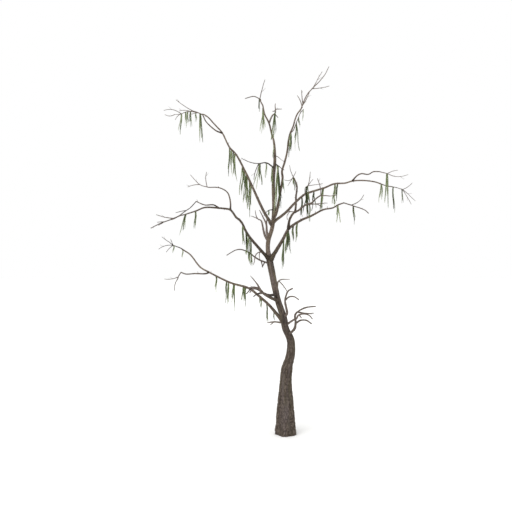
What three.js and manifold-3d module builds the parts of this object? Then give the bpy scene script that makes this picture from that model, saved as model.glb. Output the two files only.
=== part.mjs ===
// Dead pond cypress: a leaning trunk on a lobed root flare, bare boughs, sprays of dry twigs and
// grey-green moss hanging from them. Sizes in millimetres, Z up, the flat cut at the ground on Z = 0.
import * as THREE from "three";
import { mergeVertices } from "three/addons/utils/BufferGeometryUtils.js";
import ManifoldModule from "manifold-3d";

const kernel = await ManifoldModule();
kernel.setup();
const { Manifold, Mesh } = kernel;

// The eye that the front view is seen from: level, facing +Y, in front of the trunk
const EYE = { side: -972, distance: 18500, height: 5790 };

// Clear space where one piece seats on another, and round a twig or a strand that hangs free
const SEAT_GAP = 0.3;
const FREE_GAP = 5;

// Every limb is a row of stretches as the front view shows them: [length, angle], where angle 0
// points right, 90 up and 180 left. Its sweep is the angle at which it leans away from the eye.
// A limb springs from the centre line of what carries it, `at` so many millimetres along.
const TRUNK = {
  stretches: [
    [1745, 90], [394, 84], [471, 76], [456, 90], [424, 113], [331, 100], [618, 108], [999, 102], [662, 100],
    [294, 88], [476, 74], [557, 85], [913, 91], [719, 86], [588, 93], [321, 105], [234, 103], [145, 110],
    [248, 117], [201, 103], [110, 102], [120, 119], [90, 100],
  ],
  bow: 260,
  buried: 150,
  sides: 18,
  rings: 24,
};

// Trunk diameters, each at its height over the ground
const TRUNK_GIRTHS = [
  [0, 690], [480, 610], [840, 555], [1220, 480], [1470, 420], [1820, 378], [2120, 370], [2420, 300],
  [3220, 238], [4370, 203], [5570, 222], [5990, 145], [7270, 121], [8920, 98], [9570, 65], [10910, 38],
];

// Root flare: lobes that fade out up the trunk by a power, one of them turned to the front left
const FLARE = { lobes: 5, depth: 0.07, height: 1500, fade: 1.5, turn: 255 };

// Boughs: girth holds the diameters at the root and at the tip
const BOUGHS = {
  upper_left: {
    on: "trunk", at: 6923, sweep: 18, girth: [104, 44],
    stretches: [
      [500, 122], [1335, 115], [787, 118], [288, 133], [554, 117], [215, 132], [188, 133], [219, 132],
      [95, 139], [107, 149], [90, 170],
    ],
  },
  upper_left_twin: {
    on: "upper_left", at: 3442, sweep: -25, girth: [56, 36],
    stretches: [[190, 161], [182, 144], [281, 135], [155, 118], [82, 113]],
  },
  middle_left: {
    on: "trunk", at: 5765, sweep: -30, girth: [108, 46],
    stretches: [
      [1002, 131], [270, 122], [228, 114], [130, 127], [164, 141], [150, 124], [155, 132], [380, 171],
      [457, 178], [300, 201],
    ],
  },
  middle_left_rise: {
    on: "middle_left", at: 2099, sweep: 20, girth: [54, 30],
    stretches: [[212, 88], [354, 105], [308, 148], [375, 177]],
  },
  middle_left_twin: {
    on: "middle_left", at: 2479, sweep: -12, girth: [46, 30],
    stretches: [[192, 148], [293, 180], [306, 158]],
  },
  low_left: {
    on: "trunk", at: 3630, sweep: 20, girth: [108, 48],
    stretches: [
      [517, 129], [266, 131], [304, 137], [195, 140], [285, 141], [168, 153], [543, 164], [785, 154],
      [321, 150], [535, 129], [263, 146],
    ],
  },
  low_left_fork: {
    on: "low_left", at: 3063, sweep: -20, girth: [56, 40],
    stretches: [[108, 205], [359, 180], [294, 183], [172, 161]],
  },
  front_left: {
    on: "trunk", at: 4408, sweep: -60, girth: [110, 78],
    stretches: [[314, 156], [227, 148], [138, 133]],
  },
  middle_right: {
    on: "trunk", at: 5736, sweep: -28, girth: [140, 40],
    stretches: [
      [390, 59], [439, 59], [386, 62], [148, 40], [362, 32], [339, 23], [453, 27], [315, 11], [188, 30],
      [207, 19],
    ],
  },
  middle_right_rise: {
    on: "middle_right", at: 1215, sweep: -40, girth: [88, 40],
    stretches: [
      [239, 86], [186, 68], [158, 52], [152, 25], [213, 40], [163, 26], [126, 17], [221, 44], [146, 34],
    ],
  },
  middle_right_back: {
    on: "middle_right_rise", at: 620, sweep: 58, girth: [70, 52],
    stretches: [[242, 85], [261, 89], [230, 83], [130, 90], [249, 111]],
  },
  long_right: {
    on: "trunk", at: 7022, sweep: 28, girth: [96, 46],
    stretches: [
      [502, 37], [507, 46], [393, 40], [252, 20], [409, 17], [351, 22], [359, 4], [237, 16], [359, 3],
      [394, -7], [178, -19],
    ],
  },
  long_right_fork: {
    on: "long_right", at: 3010, sweep: -15, girth: [56, 38],
    stretches: [[245, 48], [143, 24], [229, -5], [182, 27], [196, 2]],
  },
  upper_right: {
    on: "trunk", at: 7129, sweep: -12, girth: [96, 44],
    stretches: [
      [270, 65], [665, 79], [464, 81], [196, 96], [339, 74], [355, 77], [311, 84], [247, 78], [263, 67],
      [244, 74], [183, 68], [210, 54], [40, 66],
    ],
  },
};
// How fast a bough thins, its sides, and its rings for each stretch
const BOUGH = { taper: 1.3, sides: 7, rings: 1.4 };

// Sprays: a stem, then fans of leading twigs, each fan [share of the stem, count, length, first angle,
// last angle, curl], where the curl is the turn from one third of a twig to the next, and moss in runs,
// each run [from, to, count, longest] along the stem.
// A spray with no `at` grows from the tip of what carries it. A stem thins to its own `tip`, if it has one.
const SPRAYS = {
  upper_left_tip: {
    on: "upper_left", sweep: 12, stem: [[194, 157], [120, 167], [191, 188], [211, 200], [183, 185]],
    fans: [
      [0.76, 1, 600, 172, 172, 18], [1, 1, 350, 176, 176, -20], [0.79, 1, 255, 228, 228, 12],
      [0.3, 1, 690, 148, 148, -4],
    ],
    moss: [[178, 188, 1, 560], [376, 545, 3, 640], [675, 690, 1, 760]],
  },
  upper_left_twin_tip: {
    on: "upper_left_twin", sweep: -30, stem: [[160, 153], [230, 170]],
    fans: [[1, 1, 420, 176, 176, 8], [0.5, 1, 300, 186, 186, 0]],
    moss: [[95, 105, 1, 1050]],
  },
  middle_left_tip: {
    on: "middle_left", sweep: -25, tip: 24,
    stem: [[369, 198], [185, 194], [235, 205], [400, 199], [400, 206]],
    fans: [[0.48, 1, 620, 175, 175, -3], [0.67, 1, 260, 181, 181, 0], [0.71, 1, 205, 217, 217, 0]],
    moss: [[20, 28, 1, 700], [345, 365, 1, 820]],
  },
  middle_left_rise_tip: {
    on: "middle_left_rise", sweep: 35, stem: [[280, 163], [200, 137], [250, 132]],
    fans: [[0.05, 1, 490, 86, 86, -12], [0.4, 1, 420, 186, 186, 8]],
    moss: [],
  },
  middle_left_twin_tip: {
    on: "middle_left_twin", sweep: 12, tip: 26, stem: [[275, 228], [175, 214], [245, 217]],
    fans: [[0.62, 1, 360, 190, 190, 4], [1, 1, 460, 203, 203, 0]],
    moss: [],
  },
  low_left_tip: {
    on: "low_left", sweep: 15, tip: 28, stem: [[90, 146], [281, 158]],
    fans: [
      [1, 1, 480, 139, 139, 0], [1, 1, 215, 120, 120, 0], [1, 1, 510, 195, 195, 15],
      [0.98, 1, 325, 230, 230, 14],
    ],
    moss: [[36, 46, 1, 480], [355, 362, 1, 400]],
  },
  low_left_fork_tip: {
    on: "low_left_fork", sweep: -35, tip: 22,
    stem: [[154, 238], [103, 252], [95, 239], [103, 252], [187, 263]],
    fans: [[0.27, 1, 455, 188, 188, -10]],
    moss: [],
  },
  front_left_tip: {
    on: "front_left", sweep: -50, tip: 14, stem: [[235, 119], [186, 128], [157, 130]],
    fans: [[0.04, 1, 440, 170, 170, 20], [0.04, 1, 390, 200, 200, 36], [0.22, 1, 250, 285, 285, 4]],
    moss: [],
  },
  front_left_upper: {
    on: "trunk", at: 4612, sweep: -60, girth: 95, tip: 60, stem: [[287, 180], [163, 157], [172, 147]],
    fans: [[0.9, 1, 560, 192, 192, 36], [0.7, 1, 380, 208, 208, 22], [1, 1, 330, 168, 168, 12]],
    moss: [],
  },
  left_stub: {
    on: "trunk", at: 3652, sweep: 45, girth: 76, tip: 36, stem: [[349, 173], [210, 187]],
    fans: [[0.62, 1, 150, 217, 217, 0]],
    moss: [],
  },
  low_right: {
    on: "trunk", at: 3252, sweep: -50, girth: 96, tip: 34,
    stem: [[286, 45], [214, 81], [229, 94], [106, 56], [324, 29], [328, 7]],
    fans: [[0.3, 1, 600, 2, 2, -33], [0.58, 1, 520, -2, -2, 5]],
    moss: [],
  },
  low_right_back: {
    on: "trunk", at: 3576, sweep: 52, girth: 84, tip: 36,
    stem: [[330, 33], [118, 28], [102, 63], [168, 18], [198, -13], [164, -47]],
    fans: [[0.55, 1, 125, -54, -54, 0]],
    moss: [],
  },
  right_upright: {
    on: "trunk", at: 3855, sweep: -42, girth: 92, tip: 44,
    stem: [[159, 43], [174, 97], [264, 99], [166, 79], [163, 64], [165, 30]],
    fans: [[0.547, 1, 520, 5, 5, -39]],
    moss: [],
  },
  middle_back: {
    on: "trunk", at: 4790, sweep: 58, girth: 74, tip: 16,
    stem: [[125, 65], [132, 81], [114, 39], [297, 2]],
    fans: [[0.46, 1, 455, -53, -53, -10]],
    moss: [],
  },
  slim_left: {
    on: "trunk", at: 5640, sweep: -32, girth: 60, tip: 26,
    stem: [[323, 160], [228, 151], [232, 142], [219, 155], [109, 170], [142, 189], [339, 210]],
    fans: [[0.2, 1, 230, 287, 287, 0], [0.12, 1, 185, 244, 244, 0]],
    moss: [[693, 707, 1, 400], [808, 822, 1, 450]],
  },
  middle_left_root: {
    on: "middle_left", at: 330, sweep: -40, girth: 42, tip: 24,
    stem: [[137, 175], [114, 219], [110, 247], [138, 263]],
    fans: [[0.22, 1, 230, 262, 262, 6], [1, 1, 110, 252, 252, 0]],
    moss: [],
  },
  back_left: {
    on: "trunk", at: 6398, sweep: 58, girth: 96, tip: 20,
    stem: [[192, 122], [205, 107], [199, 100], [114, 110], [127, 151], [120, 116], [166, 100]],
    fans: [[0.745, 1, 240, 153, 153, 0]],
    moss: [],
  },
  fork_link: {
    on: "trunk", at: 7446, sweep: -45, girth: 42, stem: [[190, 192], [110, 222]],
    fans: [[1, 1, 110, 240, 240, 0]],
    moss: [[175, 190, 1, 280]],
  },
  middle_right_tip: {
    on: "middle_right", sweep: -25, tip: 26,
    stem: [[206, -18], [206, -18], [170, -17], [143, -24], [155, -42]],
    fans: [[0.28, 1, 540, 35, 35, 14]],
    moss: [[310, 325, 1, 560]],
  },
  middle_right_rise_tip: {
    on: "middle_right_rise", sweep: -35, stem: [[170, 0], [150, -3], [150, 5]],
    fans: [[0.97, 1, 70, 10, 10, 0], [0.04, 1, 600, 95, 95, 9]],
    moss: [[425, 440, 1, 430]],
  },
  middle_right_rise_low: {
    on: "middle_right_rise", at: 1075, sweep: 30, girth: 40, tip: 22,
    stem: [[248, 4], [115, -8], [134, -34]],
    fans: [[0.5, 1, 440, 5, 5, 0]],
    moss: [[70, 80, 1, 800]],
  },
  middle_right_back_tip: {
    on: "middle_right_back", sweep: 45, stem: [[60, 120]],
    fans: [
      [1, 1, 390, 112, 112, -4], [1, 1, 195, 62, 62, 8], [0.9, 1, 350, 238, 238, 2],
      [0.9, 1, 330, 200, 200, -28],
    ],
    moss: [[28, 56, 2, 520]],
  },
  long_right_tip: {
    on: "long_right", sweep: 25, tip: 24, stem: [[200, -19], [290, -10], [262, -16]],
    fans: [[1, 2, 560, -58, -38, 0], [1, 1, 385, 32, 32, 12]],
    moss: [[25, 40, 1, 960], [420, 435, 1, 960], [725, 740, 1, 760]],
  },
  long_right_fork_tip: {
    on: "long_right_fork", sweep: -25, tip: 26, stem: [[269, -14]],
    fans: [[1, 1, 380, 24, 24, -5], [1, 1, 690, -6, -6, 19]],
    moss: [[245, 255, 1, 1500]],
  },
  long_right_upright: {
    on: "long_right", at: 1402, sweep: -45, girth: 38, stem: [[228, 86], [95, 28]],
    fans: [[1, 1, 460, 84, 84, 4], [0.9, 1, 290, 52, 52, 0], [1, 1, 480, 2, 2, -3]],
    moss: [[262, 302, 2, 960]],
  },
  upper_right_tip: {
    on: "upper_right", sweep: -8,
    stem: [[260, 70], [219, 63], [229, 50], [355, 45], [304, 52], [268, 64]],
    fans: [
      [0.03, 1, 390, 120, 120, 11], [0.085, 1, 440, 97, 97, 0], [0.05, 1, 520, 56, 56, 5],
      [0.44, 1, 590, 12, 12, 6], [0.467, 1, 600, 58, 58, -2],
    ],
    moss: [],
  },
  upper_right_side: {
    on: "upper_right", at: 2860, sweep: 40, girth: 34,
    stem: [[152, 47], [281, 68], [219, 67], [100, 67], [170, 52]],
    fans: [[0.8, 1, 110, 72, 72, 0]],
    moss: [[415, 430, 1, 1150], [640, 655, 1, 420], [895, 910, 1, 430]],
  },
  leader_arch: {
    on: "trunk", at: 8794, sweep: -50, girth: 50, tip: 34, stem: [[311, 147], [246, 185]],
    fans: [[1, 1, 590, 161, 161, -9], [1, 1, 550, 252, 252, 5]],
    moss: [[72, 80, 1, 1000], [300, 315, 1, 600], [515, 545, 2, 860]],
  },
  leader_link: {
    on: "trunk", at: 8945, sweep: -50, girth: 52, stem: [[151, -33], [155, -39]],
    fans: [[1, 1, 80, -30, -30, 0]],
    moss: [[90, 150, 3, 1800]],
  },
  leader_fork: {
    on: "trunk", at: 10272, sweep: -55, girth: 60, tip: 40,
    stem: [[192, 69], [112, 60], [93, 39], [128, 84]],
    fans: [
      [1, 1, 215, 2, 2, 0], [1, 1, 190, 88, 88, -10], [0.72, 1, 170, -55, -55, 0],
      [0.9, 1, 90, 190, 190, 0],
    ],
    moss: [[400, 440, 2, 980]],
  },
  leader_tip: {
    on: "trunk", sweep: 25, tip: 26, stem: [[99, 153], [114, 156], [118, 185], [194, 197]],
    fans: [[0.04, 1, 640, 72, 72, -4]],
    moss: [[40, 52, 1, 560]],
  },
  back_left_inner: {
    on: "trunk", at: 6500, sweep: 40, girth: 96, tip: 24,
    stem: [[194, 113], [212, 93], [100, 103], [251, 116], [216, 117]],
    fans: [[0.42, 1, 215, 87, 87, 0]],
    moss: [],
  },
  leader_cross: {
    on: "trunk", at: 9206, sweep: -40, girth: 28, tip: 10, stem: [[110, -23], [118, -39], [144, -38]],
    fans: [],
    moss: [],
  },
  long_right_link: {
    on: "long_right", at: 614, sweep: -30, girth: 44, stem: [[86, -18], [170, -3]],
    fans: [[0.35, 1, 300, -105, -105, 25]],
    moss: [],
  },
};
// A stem's tip unless it has its own, and how much of its bough's tip it takes up where it meets it
const STEM = { sides: 5, tip: 18, fit: 0.92 };
// A leading twig is a share of its stem's girth where it leaves it, or its own girth if that is more,
// and slims to a share of that before it runs out to a point. Its length, its bends and its sweep to
// either side are dealt, the sweep from the least share of it up to the whole.
const TWIG = {
  sides: 3, rings: 3, girth: [26, 10], fit: 0.85, sweep: 50, least: 0.25, bend: 5, spread: 0.04,
  slim: 0.6,
};
// Side twigs: one for each so many millimetres of a leading twig, set between two shares of it
const SIDE_TWIG = {
  every: 400, from: 0.35, to: 0.85, rings: 1, girth: [10, 5], reach: 0.3, least: 0.6, spread: [20, 42],
  sweep: 55,
};
const SPRAY_SEED = 41;

// Moss curtains on the boughs: a runner under the limb with strands in runs, as in the sprays
const CURTAINS = {
  upper_left_lower: { on: "upper_left", runs: [[1487, 2132, 6, 1150]] },
  upper_left_upper: { on: "upper_left", runs: [[2627, 2922, 4, 1150]] },
  middle_left: {
    on: "middle_left", runs: [[920, 1040, 2, 1000], [1180, 1200, 1, 860], [1425, 1450, 1, 760]],
  },
  low_left_inner: { on: "low_left", runs: [[530, 545, 1, 330], [870, 890, 1, 680], [1125, 1215, 2, 340]] },
  low_left_outer: {
    on: "low_left",
    runs: [[1765, 1840, 3, 700], [2145, 2180, 2, 940], [2345, 2440, 2, 880], [2780, 2795, 1, 680]],
  },
  middle_right: {
    on: "middle_right", runs: [[815, 850, 2, 1100], [1050, 1190, 3, 800], [1395, 1405, 1, 480]],
  },
  middle_right_outer: { on: "middle_right", runs: [[1552, 1572, 1, 760], [3015, 3035, 1, 760]] },
  long_right_inner: {
    on: "long_right", runs: [[1240, 1255, 1, 760], [1410, 1470, 2, 960], [1680, 1695, 1, 900]],
  },
  long_right_middle: { on: "long_right", runs: [[2000, 2030, 2, 880], [2440, 2520, 2, 900]] },
  leader: { on: "trunk", runs: [[9540, 9560, 1, 640], [10700, 10800, 2, 840]] },
  upper_right: { on: "upper_right", runs: [[1330, 1350, 1, 580], [2850, 2890, 2, 760]] },
};
// A runner bites into the bough by a share of its radius, and runs on past its end strands. It takes the
// bough's direction from a little before and after each point.
const RUNNER = { sides: 4, girth: 32, bite: 0.8, step: 280, past: 30, probe: 20 };
// A strand's neck is a share of its width over its first tenth, and it thins by a share down its length.
// It swings out and back at two places down it. It strays from its even place in the run, and its length
// falls short of the longest, by shares.
const STRAND = {
  width: 62, neck: 0.45, collar: 0.1, thin: 0.6, swing: 14, out: 0.35, back: 0.7, sides: 3, rings: 3,
  stray: 0.6, spread: 0.35,
};
const CURTAIN_SEED = 97;

// The rule that deals shares from a seed, and how many it throws away first
const DEALER = { times: 1664525, plus: 1013904223, range: 2 ** 32, thrown: 4 };

// Corners nearer than the weld are one corner, and a corner nearer the axis than this lies on it
const WELD = 1e-3;
const ON_AXIS = 1e-6;

// Colours of the pieces
const BARK_COLOUR = 0x5e5349;
const TWIG_COLOUR = 0x6a6056;
const MOSS_COLOUR = 0x79816a;

const radians = THREE.MathUtils.degToRad;
const { lerp } = THREE.MathUtils;

// Even shares between 0 and 1 dealt by a seed
function seededShares(seed) {
  let state = seed >>> 0;
  const draw = () => {
    state = (Math.imul(state, DEALER.times) + DEALER.plus) >>> 0;
    return state / DEALER.range;
  };
  for (let i = 0; i < DEALER.thrown; i++) draw();
  return draw;
}

// Stations of a limb: how far along it, where across and up in the front view, and how deep
function trace(start, stretches, sweep) {
  const stations = [{ along: 0, x: start.x, z: start.z, depth: start.depth }];
  for (const [length, angle] of stretches) {
    const last = stations[stations.length - 1];
    stations.push({
      along: last.along + length,
      x: last.x + length * Math.cos(radians(angle)),
      z: last.z + length * Math.sin(radians(angle)),
      depth: last.depth + length * Math.tan(radians(sweep)),
    });
  }
  return stations;
}

// The trunk stands upright on its first stretch, bows back in depth and comes home towards the tip.
function traceTrunk() {
  const stations = trace({ x: 0, z: 0, depth: 0 }, TRUNK.stretches, 0);
  const first = stations[1].along;
  const length = stations[stations.length - 1].along - first;
  for (const station of stations.slice(2)) {
    station.depth = (TRUNK.bow / 2) * (1 - Math.cos((2 * Math.PI * (station.along - first)) / length));
  }
  return stations;
}

// The station at a distance along a limb
function stationAt(stations, along) {
  let i = 1;
  while (i < stations.length - 1 && stations[i].along < along) i++;
  const [a, b] = [stations[i - 1], stations[i]];
  const share = (along - a.along) / (b.along - a.along);
  const between = (key) => lerp(a[key], b[key], share);
  return { along, x: between("x"), z: between("z"), depth: between("depth") };
}

// A station's point in space: it slides along its line of sight, so the front view keeps its drawing.
function pointOf({ x, z, depth }) {
  const scale = 1 + depth / EYE.distance;
  return new THREE.Vector3(EYE.side + (x - EYE.side) * scale, depth, EYE.height + (z - EYE.height) * scale);
}

function curveThrough(stations) {
  return new THREE.CatmullRomCurve3(stations.map(pointOf), false, "centripetal");
}

function toManifold(geometry) {
  geometry.deleteAttribute("normal");
  geometry.deleteAttribute("uv");
  const welded = mergeVertices(geometry, WELD);
  return new Manifold(
    new Mesh({
      numProp: 3,
      vertProperties: new Float32Array(welded.getAttribute("position").array),
      triVerts: new Uint32Array(welded.index.array),
    }),
  );
}

// A closed limb: a straight cylinder or cone bent along a curve, its radius set ring by ring.
// Its far end runs on past the curve by `past`.
function bend(straight, curve, radiusAt, rings, past) {
  const corners = straight.getAttribute("position");
  const frames = curve.computeFrenetFrames(rings, false);
  for (let i = 0; i < corners.count; i++) {
    const ring = Math.round((corners.getY(i) + 0.5) * rings);
    const centre = curve.getPointAt(ring / rings);
    if (ring === rings) centre.addScaledVector(frames.tangents[ring], past);
    const out = new THREE.Vector3()
      .addScaledVector(frames.normals[ring], corners.getX(i))
      .addScaledVector(frames.binormals[ring], -corners.getZ(i))
      .normalize();
    const onAxis = Math.hypot(corners.getX(i), corners.getZ(i)) < ON_AXIS;
    const reach = onAxis ? 0 : radiusAt(ring / rings, out, centre);
    const corner = centre.clone().addScaledVector(out, reach);
    corners.setXYZ(i, corner.x, corner.y, corner.z);
  }
  return toManifold(straight);
}

function limbSolid(curve, radiusAt, sides, rings, past = 0) {
  return bend(new THREE.CylinderGeometry(1, 1, 1, sides, rings), curve, radiusAt, rings, past);
}

function pointedSolid(curve, radiusAt, sides, rings) {
  return bend(new THREE.ConeGeometry(1, 1, sides, rings), curve, radiusAt, rings, 0);
}

// A limb's radius along its length, thinning fastest near the root when the power is over 1
function taper([root, tip], power) {
  return (share) => (tip + (root - tip) * (1 - share) ** power) / 2;
}

function trunkGirth(height) {
  let i = 1;
  while (i < TRUNK_GIRTHS.length - 1 && TRUNK_GIRTHS[i][0] < height) i++;
  const [[low, wide], [high, slim]] = [TRUNK_GIRTHS[i - 1], TRUNK_GIRTHS[i]];
  return lerp(wide, slim, THREE.MathUtils.clamp((height - low) / (high - low), 0, 1));
}

// The trunk's radius with the lobes of its root flare
function trunkRadius(share, out, centre) {
  const fade = Math.max(0, 1 - centre.z / FLARE.height) ** FLARE.fade;
  const lobe = Math.cos(FLARE.lobes * (Math.atan2(out.y, out.x) - radians(FLARE.turn)));
  return (trunkGirth(centre.z) / 2) * (1 + FLARE.depth * fade * lobe);
}

// The biggest of the pieces that a cut leaves
function largest(solid) {
  return solid.decompose().reduce((best, piece) => (piece.volume() > best.volume() ? piece : best));
}

function boxesMeet(a, b) {
  return [0, 1, 2].every((k) => a.min[k] < b.max[k] && b.min[k] < a.max[k]);
}

function touches(solid, others) {
  const box = solid.boundingBox();
  return others.some((other) => boxesMeet(box, other.boundingBox()) && !solid.intersect(other).isEmpty());
}

// A limb with its stations and radius, its solid, and a copy grown by the seat gap to cut others with
function makeLimb(stations, radiusAt, sides, rings) {
  const curve = curveThrough(stations);
  const growth = SEAT_GAP / Math.cos(Math.PI / sides);
  const grownRadius = (share, out, centre) => radiusAt(share, out, centre) + growth;
  return {
    stations,
    length: stations[stations.length - 1].along,
    radiusAt,
    solid: limbSolid(curve, radiusAt, sides, rings),
    grown: limbSolid(curve, grownRadius, sides, rings, SEAT_GAP),
  };
}

// A twig leaves its parent at a station and bends a little at each of its equal stretches.
function twigStations(start, length, angle, sweep, bends) {
  const step = length / bends.length;
  let heading = angle;
  const stretches = bends.map((bend) => {
    heading += bend;
    return [step, heading];
  });
  return trace(start, stretches, sweep);
}

// One leading twig and its side twigs, all dealt from the same seed
function dealTwig(stem, [share, count, length, first, last, curl], index, draw) {
  const reach = length * (1 + TWIG.spread * (2 * draw() - 1));
  const angle = count > 1 ? lerp(first, last, index / (count - 1)) : first;
  const sweep = TWIG.sweep * lerp(TWIG.least, 1, draw()) * (draw() < 0.5 ? -1 : 1);
  const bends = [-curl, curl, curl].map((turn) => turn + TWIG.bend * (2 * draw() - 1));
  const start = stationAt(stem, share * stem[stem.length - 1].along);
  const leader = twigStations(start, reach, angle, sweep, bends);
  const sides = [];
  const sideCount = Math.floor(length / SIDE_TWIG.every);
  for (let i = 0; i < sideCount; i++) {
    const along = reach * lerp(SIDE_TWIG.from, SIDE_TWIG.to, (i + draw()) / sideCount);
    const turn = lerp(SIDE_TWIG.spread[0], SIDE_TWIG.spread[1], draw()) * ((i + index) % 2 ? 1 : -1);
    const size = reach * SIDE_TWIG.reach * lerp(SIDE_TWIG.least, 1, draw());
    const lean = SIDE_TWIG.sweep * (2 * draw() - 1);
    sides.push(twigStations(stationAt(leader, along), size, angle + turn, lean, [0]));
  }
  return { leader, sides };
}

function twigSolid(stations, girth, rings, margin) {
  const radiusAt = taper(girth, 1);
  return pointedSolid(curveThrough(stations), (share) => radiusAt(share) + margin, TWIG.sides, rings);
}

// A hanging strand: it swings out a little under its neck, swells and runs out to a point.
function strandSolid(top, { length, turn }) {
  const drop = (share, swing) =>
    new THREE.Vector3(Math.cos(turn) * swing, Math.sin(turn) * swing, -share * length).add(top);
  const swings = [drop(STRAND.out, STRAND.swing), drop(STRAND.back, -STRAND.swing)];
  const line = [drop(0, 0), ...swings, drop(1, 0)];
  const curve = new THREE.CatmullRomCurve3(line);
  const radiusAt = (share) =>
    (STRAND.width / 2) * (share < STRAND.collar ? STRAND.neck : 1 - STRAND.thin * share);
  return pointedSolid(curve, radiusAt, STRAND.sides, STRAND.rings);
}

// The strands of one run: where along the limb each hangs, how long it is and how it is turned
function dealStrands([from, to, count, longest], draw) {
  return Array.from({ length: count }, (_, i) => ({
    along: lerp(from, to, count > 1 ? (i + STRAND.stray * (draw() - 0.5)) / (count - 1) : draw()),
    length: longest * (1 - STRAND.spread * draw()),
    turn: Math.PI * draw(),
  })).map((strand) => ({ ...strand, along: THREE.MathUtils.clamp(strand.along, from, to) }));
}

const limbs = {};
const pieces = [];

function addPiece(name, solid, colour, limb) {
  pieces.push({ name, solid, colour, limb });
}

// Trunk, drawn from a little under the ground and cut flat at it
const trunkStations = traceTrunk();
const foot = { along: -TRUNK.buried, x: 0, z: -TRUNK.buried, depth: 0 };
limbs.trunk = makeLimb([foot, ...trunkStations], trunkRadius, TRUNK.sides, TRUNK.rings);
limbs.trunk.stations = trunkStations;
limbs.trunk.solid = limbs.trunk.solid.trimByPlane([0, 0, 1], 0);
addPiece("trunk", limbs.trunk.solid, BARK_COLOUR, limbs.trunk);

// Boughs, each cut back to clear what carries it
for (const [name, plan] of Object.entries(BOUGHS)) {
  const carrier = limbs[plan.on];
  const stations = trace(stationAt(carrier.stations, plan.at), plan.stretches, plan.sweep);
  const rings = Math.ceil(BOUGH.rings * plan.stretches.length);
  const limb = makeLimb(stations, taper(plan.girth, BOUGH.taper), BOUGH.sides, rings);
  limbs[name] = limb;
  addPiece(`bough_${name}`, largest(limb.solid.subtract(carrier.grown)), BARK_COLOUR, limb);
}

// Sprays: the stem seats on its bough or the trunk, and a twig that would touch a limb is left out.
Object.entries(SPRAYS).forEach(([name, plan], order) => {
  const draw = seededShares(SPRAY_SEED + order);
  const carrier = limbs[plan.on];
  const start = stationAt(carrier.stations, plan.at ?? carrier.length);
  const stem = trace(start, plan.stem, plan.sweep);
  const root = plan.girth ?? 2 * carrier.radiusAt(1, new THREE.Vector3(1, 0, 0), pointOf(start)) * STEM.fit;
  const rings = Math.max(2, plan.stem.length + 1);
  const stemRadius = taper([root, plan.tip ?? STEM.tip], 1);
  const limb = makeLimb(stem, stemRadius, STEM.sides, rings);
  const others = pieces.map((piece) => piece.solid);
  let body = largest(limb.solid.subtract(carrier.grown));
  const grow = (stations, girth, count) => {
    if (touches(twigSolid(stations, girth, count, FREE_GAP), others)) return false;
    body = body.add(twigSolid(stations, girth, count, 0));
    return true;
  };
  for (const fan of plan.fans) {
    const wide = Math.max(TWIG.girth[0], 2 * stemRadius(fan[0]) * TWIG.fit);
    const girth = [wide, Math.max(TWIG.girth[1], wide * TWIG.slim)];
    for (let i = 0; i < fan[1]; i++) {
      const { leader, sides } = dealTwig(stem, fan, i, draw);
      if (grow(leader, girth, TWIG.rings)) {
        for (const side of sides) grow(side, SIDE_TWIG.girth, SIDE_TWIG.rings);
      }
    }
  }
  for (const strand of plan.moss.flatMap((run) => dealStrands(run, draw))) {
    const hanging = strandSolid(pointOf(stationAt(stem, strand.along)), strand);
    if (!touches(hanging, others)) body = body.add(hanging);
  }
  addPiece(`spray_${name}`, largest(body), TWIG_COLOUR);
});

// A point under a limb, so far along it, a little less than a runner's radius off its bark
function underside(limb, along) {
  const before = pointOf(stationAt(limb.stations, along - RUNNER.probe));
  const after = pointOf(stationAt(limb.stations, along + RUNNER.probe));
  const tangent = after.clone().sub(before).normalize();
  const down = new THREE.Vector3(0, 0, -1);
  down.addScaledVector(tangent, -down.dot(tangent)).normalize();
  const centre = before.add(after).multiplyScalar(0.5);
  const off = limb.radiusAt(along / limb.length, down, centre) + (RUNNER.girth / 2) * (1 - RUNNER.bite);
  return centre.addScaledVector(down, off);
}

// Curtains: the runner is cut to clear its bough, and a strand that would touch a limb is left out.
Object.entries(CURTAINS).forEach(([name, plan], order) => {
  const draw = seededShares(CURTAIN_SEED + order);
  const limb = limbs[plan.on];
  const from = plan.runs[0][0] - RUNNER.past;
  const to = plan.runs[plan.runs.length - 1][1] + RUNNER.past;
  const steps = Math.max(2, Math.round((to - from) / RUNNER.step));
  const line = Array.from({ length: steps + 1 }, (_, i) => underside(limb, lerp(from, to, i / steps)));
  const curve = new THREE.CatmullRomCurve3(line, false, "centripetal");
  const others = pieces.filter((piece) => piece.limb !== limb).map((piece) => piece.solid);
  let body = limbSolid(curve, () => RUNNER.girth / 2, RUNNER.sides, steps);
  for (const strand of plan.runs.flatMap((run) => dealStrands(run, draw))) {
    const top = curve.getPointAt((strand.along - from) / (to - from));
    const hanging = strandSolid(top, strand);
    if (!touches(hanging, others)) body = body.add(hanging);
  }
  addPiece(`moss_${name}`, largest(body.subtract(limb.grown)), MOSS_COLOUR);
});

function toMesh({ name, solid, colour }) {
  const { vertProperties, triVerts } = solid.getMesh();
  const geometry = new THREE.BufferGeometry();
  geometry.setAttribute("position", new THREE.BufferAttribute(new Float32Array(vertProperties), 3));
  geometry.setIndex(new THREE.BufferAttribute(new Uint32Array(triVerts), 1));
  geometry.computeVertexNormals();
  const mesh = new THREE.Mesh(geometry, new THREE.MeshStandardMaterial({ color: colour, roughness: 0.9 }));
  mesh.name = name;
  return mesh;
}

const tree = new THREE.Group();
tree.name = "dead_pond_cypress";
for (const piece of pieces) tree.add(toMesh(piece));

export default tree;
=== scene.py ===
"""A dead pond cypress with hanging moss: its bark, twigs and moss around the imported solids.

Metres, Z up, the flat cut at the ground on Z = 0.
"""

import itertools
import math

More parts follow.
